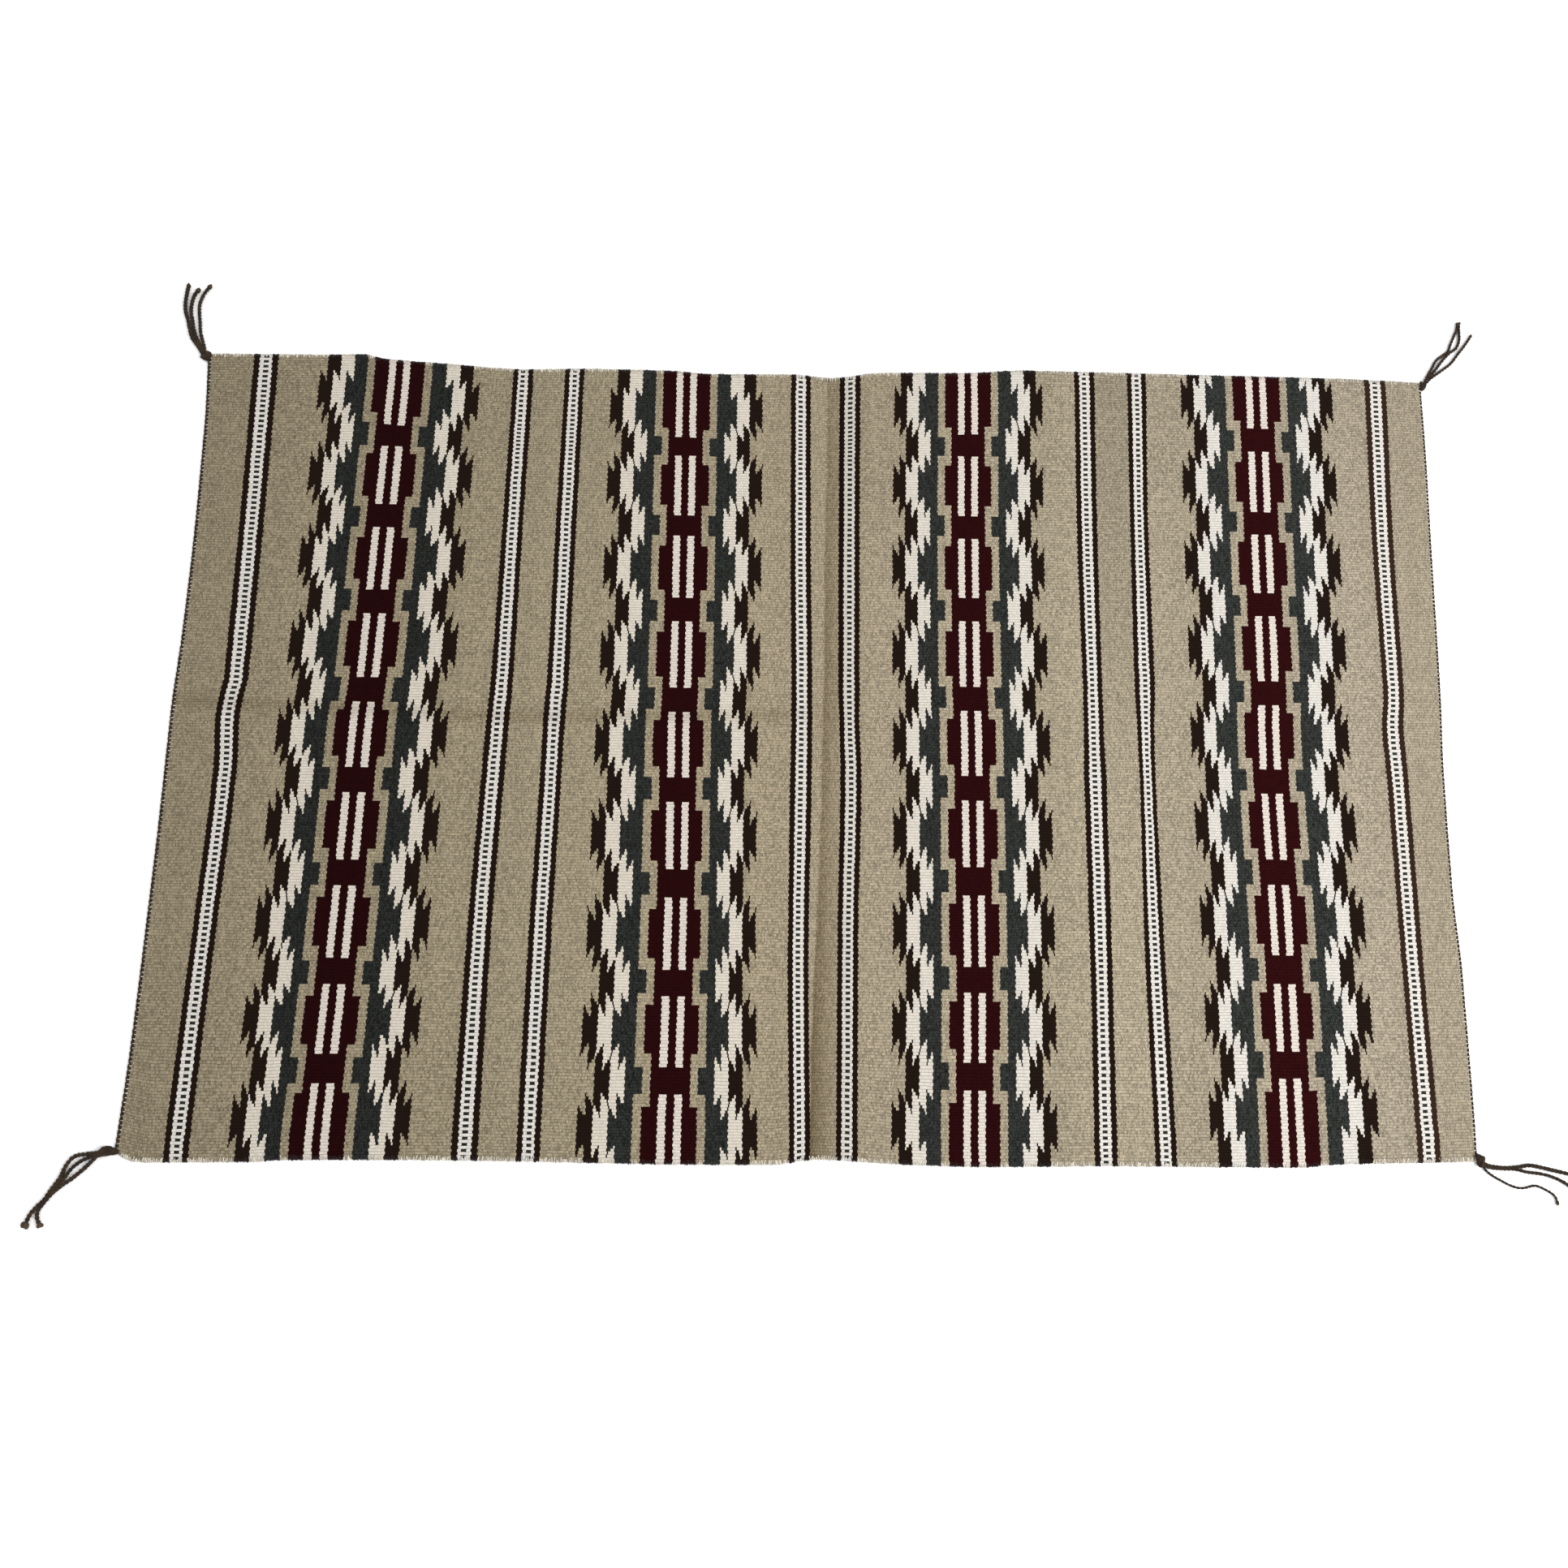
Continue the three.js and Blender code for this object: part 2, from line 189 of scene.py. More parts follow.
cloth = {
    "halfWidth": 750.0,  # along the warp
    "halfDepth": 475.0,  # along the weft
    "thick": 3.5,
    "warps": 290,
    "ribRise": 0.22,
    "edgeRound": 2.6,
    "edgeWall": 0.7,
    "edgeWaves": (60, 135),  # the two long sides' waves fade out this far in from them
    "endColumns": (0, 0.6, 1.4, 2.6),  # mesh columns at a rounded end, from the end inward
    "creaseColumns": (0, 0.7, 1.6, 3.2, 5.5, 9.5, 15, 26, 38),  # and to both sides of the crease
    "widestColumn": 34,
    "rows": (-450, -230, -40, 20, 70, 240, 450),  # loom heights of the columns in "knots"
    # sides of the stripes, and sides and middles of the bands: loom place, then floor place at each row
    "knots": [
        (-697.1, (-704, -696.5, -691, -694.5, -689, -688.5, -690)),
        (-673.5, (-677, -670, -664, -666.5, -660.5, -659.5, -660)),
        (-637.9, (-635.5, -627.5, -623.5, -622, -618, -613, -608)),
        (-537.9, (-540, -532, -527.5, -526, -522.5, -517.5, -512)),
        (-437.9, (-440, -432.5, -427, -425.5, -422, -417.5, -412.5)),
        (-402.3, (-392.5, -389, -383, -381, -378.5, -375.5, -372.5)),
        (-378.7, (-363.5, -362, -356.5, -354.5, -352.5, -351, -348)),
        (-338.5, (-321.5, -319.5, -315.5, -315, -313, -311.5, -309)),
        (-314.9, (-295.5, -294, -290.5, -289.5, -287.5, -287, -285.5)),
        (-279.3, (-257, -254, -254, -253.5, -251.5, -252, -252)),
        (-179.3, (-154.5, -153.5, -155.5, -156.5, -156, -157, -159)),
        (-79.3, (-57, -62.5, -64, -64, -63, -63.5, -65)),
        (-43.7, (-22, -26, -25.5, -25, -25.5, -28.5, -30)),
        (-20.1, (1, -2.5, -0.5, -0.5, -1, -4, -6)),
        (20.1, (30, 30.5, 33, 31.5, 30, 29.5, 30)),
        (43.7, (53.5, 54, 57.5, 55, 55, 55, 55.5)),
        (79.3, (91, 93.5, 94.5, 94.5, 94, 94.5, 98)),
        (179.3, (183.5, 187, 187, 187, 186, 186.5, 189)),
        (279.3, (276, 279, 279.5, 279.5, 279, 278.5, 282)),
        (314.9, (317, 319, 318.5, 320, 320.5, 319.5, 322)),
        (338.5, (342.5, 344, 344.5, 343.5, 343.5, 344, 347)),
        (378.7, (384.5, 382, 384, 383.5, 382.5, 384.5, 388)),
        (402.3, (408.5, 404.5, 402.5, 403.5, 406.5, 406.5, 411.5)),
        (437.9, (447, 448, 446.5, 447, 448.5, 450, 455)),
        (537.9, (539.5, 540.5, 539, 540, 542.5, 545, 549.5)),
        (637.9, (637, 638, 635, 635, 638, 640.5, 645)),
        (673.5, (679, 677.5, 677, 675.5, 680.5, 681, 686.5)),
        (697.1, (705, 702.5, 702.5, 701.5, 705.5, 707, 713.5)),
    ],
    "lengthCrease": {"reach": 10.0, "depth": 1.3, "wiggles": [(0.5, 41, 0), (0.3, 13, 1)],
                     # painted shade beside the crease: its strength, reach and ramp, a reach twice as wide
                     # towards the far side, a little on its left, and its strength along it
                     "worn": 0.5, "wornReach": 22.0, "wornRamp": (-1.8, 1.6), "twiceAsWide": (120, 450),
                     "wornLeft": 0.06, "wornLeftReach": 14,
                     "wornAlong": [(-475, 1.28), (-390, 1.24), (-200, 1.0), (-55, 0.84), (130, 0.97),
                                   (340, 0.76), (475, 0.66)],
                     "line": [(-475, -1), (-430, 0.5), (-360, 2), (-280, 4.3), (-200, 6.8), (-120, 10.2),
                              (-40, 11.9), (40, 12.1), (120, 13.7), (280, 13.4), (360, 15), (475, 15.5)]},
    # the cross crease's trough, and the painted shade along it
    "crossCrease": {"reach": 11.0, "depth": 0.8, "worn": 0.2, "wornReach": 8.5, "fade": (-60, 60),
                    "line": [(-750, 34), (-655, 30.5), (-410, 23), (-335, 22), (-270, 24.5), (-48, 29),
                             (100, 34)]},
    "rises": [(-640, 300, 150, 0.5), (-60, -330, 120, 0.6), (95, 330, 110, 0.5),
              (430, -40, 170, 0.6), (640, -380, 120, 0.4)],
    "farEdge": [(-743.4, 475.4), (-600, 478), (-556, 479.5), (-533, 474.5), (-460, 470), (-366, 465),
                (-266, 468), (-178, 468), (-135, 465), (-27, 467), (17, 463.5), (80, 472), (187, 475),
                (268, 480.5), (646, 480), (756.4, 477.4)],
    "nearEdge": [(-754.4, -481), (-733, -488.5), (-620, -487), (-558, -484), (-371, -482.5), (-140, -484),
                 (-42, -483), (12, -477), (102, -481), (182, -482.5), (336, -480), (544, -479),
                 (590, -475), (691, -472), (744.1, -469.8)],
    "leftEdge": [(-481, -754.4), (-366, -749), (-230, -746), (-100, -744), (20, -743.5), (112, -740),
                 (240, -738), (376, -739), (475.4, -743.4)],
    "rightEdge": [(-469.8, 744.1), (-418, 745.3), (-262, 745.7), (-168, 742.5), (-23, 744), (67, 748),
                  (240, 752), (410, 756), (477.4, 756.4)],
}


def hermite(t, start, startPull, end, endPull):
    # a cubic from start to end that leaves and arrives with the given pulls
    return ((2 * t**3 - 3 * t**2 + 1) * start + (t**3 - 2 * t**2 + t) * startPull
            + (3 * t**2 - 2 * t**3) * end + (t**3 - t**2) * endPull)


def readTable(table, at):
    # a smooth curve through a table's rows, without overshoot
    places = np.array([row[0] for row in table], float)
    values = np.array([row[1] for row in table], float)
    slopes = np.diff(values) / np.diff(places)
    tangents = np.concatenate([slopes[:1], np.zeros(len(slopes) - 1), slopes[-1:]])
    for k in range(1, len(slopes)):
        if slopes[k - 1] * slopes[k] > 0:
            tangents[k] = 2 * slopes[k - 1] * slopes[k] / (slopes[k - 1] + slopes[k])
    at = np.asarray(at, float)
    k = np.clip(np.searchsorted(places, at) - 1, 0, len(slopes) - 1)
    span = places[k + 1] - places[k]
    t = np.clip((at - places[k]) / span, 0, 1)
    return hermite(t, values[k], span * tangents[k], values[k + 1], span * tangents[k + 1])


def smoothStep(low, high, value):
    t = np.clip((value - low) / (high - low), 0, 1)
    return t * t * (3 - 2 * t)


def rowKnots(v):
    # loom places and floor places of the pattern lines' sides along one row of the loom
    share = (v + cloth["halfDepth"]) / (2 * cloth["halfDepth"])
    leftY = (1 - share) * cloth["leftEdge"][0][0] + share * cloth["leftEdge"][-1][0]
    rightY = (1 - share) * cloth["rightEdge"][0][0] + share * cloth["rightEdge"][-1][0]
    loomPlaces = [-cloth["halfWidth"]] + [knot for knot, _ in cloth["knots"]] + [cloth["halfWidth"]]
    floorPlaces = [float(readTable(list(zip(cloth["rows"], places)), v)) for _, places in cloth["knots"]]
    floorPlaces = ([float(readTable(cloth["leftEdge"], leftY))] + floorPlaces
                   + [float(readTable(cloth["rightEdge"], rightY))])
    return np.array(loomPlaces), np.array(floorPlaces)


def onFloor(u, v):
    # floor place of points of one loom row: u is an array, v one number
    x = np.interp(u, *rowKnots(v))
    a = (u + cloth["halfWidth"]) / (2 * cloth["halfWidth"])
    b = (v + cloth["halfDepth"]) / (2 * cloth["halfDepth"])
    near, far = cloth["nearEdge"], cloth["farEdge"]
    nearLine = (1 - a) * near[0][1] + a * near[-1][1]
    farLine = (1 - a) * far[0][1] + a * far[-1][1]
    farShare = 1 - smoothStep(*cloth["edgeWaves"], cloth["halfDepth"] - v)
    nearShare = 1 - smoothStep(*cloth["edgeWaves"], cloth["halfDepth"] + v)
    waves = (readTable(far, x) - farLine) * farShare + (readTable(near, x) - nearLine) * nearShare
    return x, (1 - b) * nearLine + b * farLine + waves


def creaseAt(y):
    crease = cloth["lengthCrease"]
    wiggle = sum(size * np.sin(y / length + start) for size, length, start in crease["wiggles"])
    return readTable(crease["line"], y) + wiggle


def topHeight(x, y):
    length, cross = cloth["lengthCrease"], cloth["crossCrease"]
    height = cloth["thick"] - length["depth"] * np.exp(-np.abs(x - creaseAt(y)) / length["reach"])
    fromCross = np.abs(y - readTable(cross["line"], x)) / cross["reach"]
    fade = 1 - smoothStep(*cross["fade"], x)
    height = height - cross["depth"] * np.exp(-fromCross) * fade
    for riseX, riseY, spread, rise in cloth["rises"]:
        height = height + rise * np.exp(-((x - riseX) ** 2 + (y - riseY) ** 2) / spread**2)
    return height


def paintedCreaseShadeAt(x, y):
    # painted shade along the folds: how much darker the wool is painted beside the creases, where their
    # shade falls; sharp on the lengthwise crease's left side
    length, cross = cloth["lengthCrease"], cloth["crossCrease"]
    past = x - creaseAt(y)
    reach = length["wornReach"] * (1 + smoothStep(*length["twiceAsWide"], y))
    worn = length["worn"] * smoothStep(*length["wornRamp"], past) * np.exp(-np.maximum(past, 0) / reach)
    worn = worn * readTable(length["wornAlong"], y)
    # a little painted shade on the crease's left side too
    leftOf = length["wornLeft"] * smoothStep(1, -1, past)
    worn = worn + leftOf * np.exp(-np.maximum(-past, 0) / length["wornLeftReach"])
    # and painted shade along the cross crease
    fromCross = (y - readTable(cross["line"], x)) / cross["wornReach"]
    return worn + cross["worn"] * np.exp(-fromCross**2) * (1 - smoothStep(*cross["fade"], x))


def middleOf(low, high):
    return (low + high) / 2


boxLow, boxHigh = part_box("rug_cloth")
edgeXs = [x for x, y in cloth["nearEdge"] + cloth["farEdge"]]
edgeYs = [y for x, y in cloth["nearEdge"] + cloth["farEdge"]]
shift = (
    middleOf(boxLow.x, boxHigh.x) * 1000 - middleOf(min(edgeXs), max(edgeXs)),
    middleOf(boxLow.y, boxHigh.y) * 1000 - middleOf(min(edgeYs), max(edgeYs)),
)
print("shift into the frame, mm:", round(shift[0], 2), round(shift[1], 2))


def place(x, y, z):
    return ((x + shift[0]) / 1000, (y + shift[1]) / 1000, z / 1000)


def addObject(name, data):
    piece = bpy.data.objects.new(name, data)
    bpy.context.scene.collection.objects.link(piece)
    return piece


def addMesh(name, points, faces):
    mesh = bpy.data.meshes.new(name)
    mesh.from_pydata(points, [], faces)
    return addObject(name, mesh)


# the camera, at the photograph's angle

viewing = {
    "focal": 1916.677 / 1932,  # in picture widths
    "azimuth": 6.402,
    "elevation": 76.868,
    "roll": 7.3037,
    "distance": 1809.365,
    "target": (-32.677, -53.450, 3.0),
}


def addCamera():
    data = bpy.data.cameras.new("camera")
    data.sensor_fit = "HORIZONTAL"
    data.lens = data.sensor_width * viewing["focal"]
    data.clip_start = 0.05
    data.clip_end = 60
    camera = addObject("camera", data)
    azimuth, elevation, roll = (math.radians(viewing[k]) for k in ("azimuth", "elevation", "roll"))
    forward = Vector((math.sin(azimuth) * math.cos(elevation), math.cos(azimuth) * math.cos(elevation),
                      -math.sin(elevation)))
    level = Vector((math.cos(azimuth), -math.sin(azimuth), 0))
    right = level * math.cos(roll) + level.cross(forward) * math.sin(roll)
    up = right.cross(forward)
    target = Vector(place(*viewing["target"]))
    spot = target - forward * viewing["distance"] / 1000
    camera.matrix_world = Matrix.Translation(spot) @ Matrix((right, up, -forward)).transposed().to_4x4()
    bpy.context.scene.camera = camera


addCamera()
print("camera placed")


# shader groups that more than one material uses

loom = {
    "warpPitch": 2 * cloth["halfDepth"] / cloth["warps"],
    "pick": 0.85,
    "module": 358.6,  # from one band to the next
    "stripeFrom": 31.9,  # a stripe's middle, from the middle between two bands
    "stripeHalf": 11.8,  # its own half width, and those of its white middle and its row of beads
    "whiteHalf": 6.0,
    "beadHalf": 2.8,
    "stripeLimit": 720,
    "repeat": 108.4,  # from one medallion to the next
    "medallion": -3.6,  # the middle of one of them
    "bandLead": ((0.0, 0.5), (-9.5, -2.5), (-2.0, 2.5), (12.0, 15.5)),  # each band, at its near and far end
    # how far the medallions lie off their even spacing, from the near side to the far side
    "drift": [(-475, 5), (-400, 4), (-340, -0.3), (-280, -2), (-225, -0.3), (-165, 1.2), (-60, 3.3), (0, 3),
              (60, 1.6), (160, 2.4), (270, 0.3), (320, -1.2), (370, -2.6), (475, -3)],
    # columns, counted from a band's middle, beside the even ones that they are charted as
    "packing": [(0, 0), (4.62, 4.5), (5.6, 5.5), (7.71, 7.5), (9.5, 9.5), (12.6, 12.6)],
    "packingBetween": [(0, 0), (4.62, 4.5), (5.79, 5.5), (7.65, 7.5), (9.65, 9.5), (12.6, 12.6)],
    "lastMedallion": 433.6,  # past the middle of this one the pattern runs straight to the side
    "column": 8.7,
}

serration = {  # across a band in columns from its middle line, along it from a medallion's middle
    "inner": 5.5,
    "outer": 11.5,
    "pair": 2.0,  # columns in a pair, each with one slanting tooth
    "starts": (14.0, 28.0),  # where the early and the late tooth of a pair start
    "slant": 13.9,  # how far a tooth's edge moves along the band over the width of its column
    "bluntFrom": 0.78,  # past this share of its column the edge stays at its end, so the tip is blunt
    "straight": 27.2,  # past this far from the last medallion's middle the pattern doesn't change
    "sideClear": 1.0281,  # the reach there grows by this factor, just past the whole early tooth
    "betweenFrom": 27.3,  # from here on the columns lie as they do between two medallions
}

medallion = {"tealFrom": 40.5, "wideTo": 27.5, "barTo": 39.4}  # along the band from its middle

yarns = {  # in the order of the chart's numbers
    "teal": dye(47, 49, 47),
    "cream": dye(228, 219, 204),
    "brown": dye(34, 23, 17),
    "ground": dye(168, 156, 132),
    "maroon": dye(42, 8, 10),
    "white": dye(234, 229, 221),
    "bar": dye(231, 221, 210),
}
groundLots = [(-725, dye(153, 141, 117)), (-655, dye(156, 144, 120)), (-430, dye(160, 148, 123)),
              (-358, dye(165, 153, 128)), (-300, dye(164, 152, 127)), (-60, dye(172, 159, 134)),
              (80, dye(180, 167, 143)), (300, dye(179, 167, 143)), (420, dye(180, 168, 145)),
              (650, dye(183, 171, 150)), (725, dye(176, 164, 142))]  # along the warp
yarnNumber = {name: number for number, name in enumerate(yarns)}


def isYarn(tree, yarn, name):
    return calc(tree, "COMPARE", yarn, float(yarnNumber[name]), 0.5)


beads = {
    "swayScale": 0.055,
    "sway": 4.0,
    "roundAcross": 0.75,  # how a bead's height falls toward its sides, and toward its ends
    "roundAlong": 0.25,
    # the painted shade between the beads: its reach along a bead, and where it starts
    "gapAlong": 0.7,
    "gapFrom": 0.45,
}


def makeWeaveCells():
    # the bead of weft over one warp that a point lies in
    tree, given, result = newGroup("weaveCells", "ShaderNodeTree", [
        ("Place", "NodeSocketVector", None),
        ("Warp Pitch", "NodeSocketFloat", loom["warpPitch"]),
        ("Pick", "NodeSocketFloat", loom["pick"]),
        ("Wander", "NodeSocketFloat", 0.5),
    ], [("Cell", "NodeSocketVector"), ("Odd Warp", "NodeSocketFloat"), ("Height", "NodeSocketFloat"),
        ("Gap Shade", "NodeSocketFloat"), ("Chance", "NodeSocketFloat")])
    noise = noiseAt(tree, given["Place"], beads["swayScale"], 3.0)["Color"]
    sway = vectorCalc(tree, "SUBTRACT", noise, (0.5, 0.5, 0.5))
    sway = vectorCalc(tree, "SCALE", sway, calc(tree, "MULTIPLY", given["Wander"], beads["sway"]))
    spot = apart(tree, vectorCalc(tree, "ADD", given["Place"], sway))
    pitch, pick = given["Warp Pitch"], given["Pick"]
    warp = calc(tree, "ROUND", calc(tree, "DIVIDE", spot["Y"], pitch))
    odd = calc(tree, "FLOORED_MODULO", warp, 2.0)
    pair = calc(tree, "SUBTRACT", calc(tree, "DIVIDE", spot["X"], pick), odd)
    row = calc(tree, "MULTIPLY_ADD", calc(tree, "ROUND", calc(tree, "DIVIDE", pair, 2.0)), 2.0, odd)
    cellX, cellY = calc(tree, "MULTIPLY", row, pick), calc(tree, "MULTIPLY", warp, pitch)
    feed(tree, result["Cell"], joined(tree, cellX, cellY))
    feed(tree, result["Odd Warp"], odd)
    halfPitch = calc(tree, "MULTIPLY", pitch, 0.5)
    across = calc(tree, "DIVIDE", calc(tree, "SUBTRACT", spot["Y"], cellY), halfPitch)
    along = calc(tree, "DIVIDE", calc(tree, "SUBTRACT", spot["X"], cellX), pick)
    across, along = calc(tree, "MULTIPLY", across, across), calc(tree, "MULTIPLY", along, along)
    rounded = calc(tree, "SUBTRACT", 1.0, calc(tree, "MULTIPLY", across, beads["roundAcross"]))
    rounded = calc(tree, "SUBTRACT", rounded, calc(tree, "MULTIPLY", along, beads["roundAlong"]))
    feed(tree, result["Height"], rounded)
    # painted shade between the beads: how far a point lies into the gap around its bead
    outer = calc(tree, "MAXIMUM", across, calc(tree, "MULTIPLY", along, beads["gapAlong"]))
    feed(tree, result["Gap Shade"], ramp(tree, outer, beads["gapFrom"], 1.0))
    seed = joined(tree, row, warp)
    feed(tree, result["Chance"], put(tree, "ShaderNodeTexWhiteNoise", {"Vector": seed}).outputs["Value"])
    arrange(tree)
    return tree


def makeLoomChart():
    # which yarn a bead is woven from: four serrated bands of stepped medallions, and eight beaded stripes
    tree, given, result = newGroup("loomChart", "ShaderNodeTree", [
        ("Cell", "NodeSocketVector", None),
        ("Odd Warp", "NodeSocketFloat", 0.0),
    ], [("Yarn", "NodeSocketFloat")])
    number = {name: float(at) for name, at in yarnNumber.items()}
    spot = apart(tree, given["Cell"])
    half = loom["module"] / 2
    fromMiddle = calc(tree, "ABSOLUTE", calc(tree, "WRAP", spot["X"], half, -half))
    outward = calc(tree, "DIVIDE", calc(tree, "SUBTRACT", half, fromMiddle), loom["column"])
    bandAt = calc(tree, "FLOOR", calc(tree, "DIVIDE", spot["X"], loom["module"]))
    lead = curveOf(tree, spot["Y"], loom["drift"])
    for band, (near, far) in enumerate(loom["bandLead"]):
        thisBand = calc(tree, "COMPARE", bandAt, float(band - 2), 0.5)
        slope = (far - near) / (2 * cloth["halfDepth"])
        along = calc(tree, "MULTIPLY_ADD", spot["Y"], slope, (far + near) / 2)
        lead = calc(tree, "MULTIPLY_ADD", thisBand, along, lead)
    lifted = calc(tree, "SUBTRACT", calc(tree, "SUBTRACT", spot["Y"], loom["medallion"]), lead)
    middle = calc(tree, "ABSOLUTE", calc(tree, "WRAP", lifted, loom["repeat"] / 2, -loom["repeat"] / 2))
    last = calc(tree, "GREATER_THAN", calc(tree, "ABSOLUTE", lifted), loom["lastMedallion"])
    middle = calc(tree, "MINIMUM", middle, blendValue(tree, last, loom["repeat"], serration["straight"]))
    # in columns, from a band's middle line: they lie closer where the yarn packs down harder
    isBetween = calc(tree, "GREATER_THAN", middle, serration["betweenFrom"])
    outward = blendValue(tree, isBetween, curveOf(tree, outward, loom["packing"]),
                         curveOf(tree, outward, loom["packingBetween"]))

    # the serrated edge: three pairs of columns in teal, cream and brown, and then the ground
    steps = calc(tree, "DIVIDE", calc(tree, "SUBTRACT", outward, serration["inner"]), serration["pair"])
    pair = calc(tree, "FLOOR", steps)
    within = calc(tree, "MULTIPLY", calc(tree, "FRACT", steps), serration["pair"])
    isSecond = calc(tree, "GREATER_THAN", within, 1.0)
    slant = calc(tree, "FRACT", within)
    slant = calc(tree, "MAXIMUM", slant, calc(tree, "GREATER_THAN", slant, serration["bluntFrom"]))
    early, late = serration["starts"]
    tooth = calc(tree, "MULTIPLY_ADD", slant, serration["slant"], blendValue(tree, isSecond, late, early))
    reach = calc(tree, "MULTIPLY", middle, blendValue(tree, last, 1.0, serration["sideClear"]))
    level = calc(tree, "ADD", pair, calc(tree, "GREATER_THAN", reach, tooth))

    # the stepped medallion, from its outer columns to its middle line
    def nearer(limit, value, otherwise):
        return blendValue(tree, calc(tree, "LESS_THAN", outward, limit), otherwise, value)

    def where(test, limit, value, otherwise):
        return blendValue(tree, calc(tree, test, middle, limit), otherwise, value)

    maroon, ground = number["maroon"], number["ground"]
    yarn = nearer(5.5, number["teal"], level)
    yarn = nearer(4.5, where("GREATER_THAN", medallion["tealFrom"], number["teal"], ground), yarn)
    yarn = nearer(3.5, where("LESS_THAN", medallion["wideTo"], maroon, ground), yarn)
    yarn = nearer(2.5, maroon, yarn)
    yarn = nearer(1.5, where("LESS_THAN", medallion["barTo"], number["bar"], maroon), yarn)
    yarn = nearer(0.5, maroon, yarn)
    yarn = blendValue(tree, calc(tree, "GREATER_THAN", outward, serration["outer"]), yarn, ground)

    # the stripes: brown, white, a row of beads, white, brown
    fromStripe = calc(tree, "ABSOLUTE", calc(tree, "SUBTRACT", fromMiddle, loom["stripeFrom"]))
    row = blendValue(tree, given["Odd Warp"], number["teal"], number["white"])
    isBead = calc(tree, "LESS_THAN", fromStripe, loom["beadHalf"])
    isBrown = calc(tree, "GREATER_THAN", fromStripe, loom["whiteHalf"])
    stripe = blendValue(tree, isBead, number["white"], row)
    stripe = blendValue(tree, isBrown, stripe, number["brown"])
    inside = calc(tree, "MULTIPLY", calc(tree, "LESS_THAN", fromStripe, loom["stripeHalf"]),
                  calc(tree, "LESS_THAN", calc(tree, "ABSOLUTE", spot["X"]), loom["stripeLimit"]))
    feed(tree, result["Yarn"], blendValue(tree, inside, yarn, stripe))
    arrange(tree)
    return tree


shades = {
    "lotScale": 0.02,
    "lots": (0.3, 0.7, 1.05, 0.95),  # noise from and to, lightness there
    "farSide": (120, 470, 0.0, -0.06),  # place from and to, change of lightness there
    "nearSide": (-470, -280, -0.05, 0.0),
    "darkerStrip": (-250, 300, 0.07, -0.13),
    "darkerStripHalf": 30.0,
    "lift": 1.02,
    "paintedLightSpan": 540.0,  # painted light: the other yarns are painted lighter from this far left to this far right, towards the lamp
    "pale": 0.07,
    "deepPaintedLight": 0.26,  # teal and maroon, which get the most painted light
    "endStripe": 660.0,  # past here the brown is lighter, by the next factor
    "endBrown": 2.3,
    "whiter": (-250, 560),  # from where to where the cream loses its tint
    "creamLeft": 0.58,  # the share of it that is left at the right
}


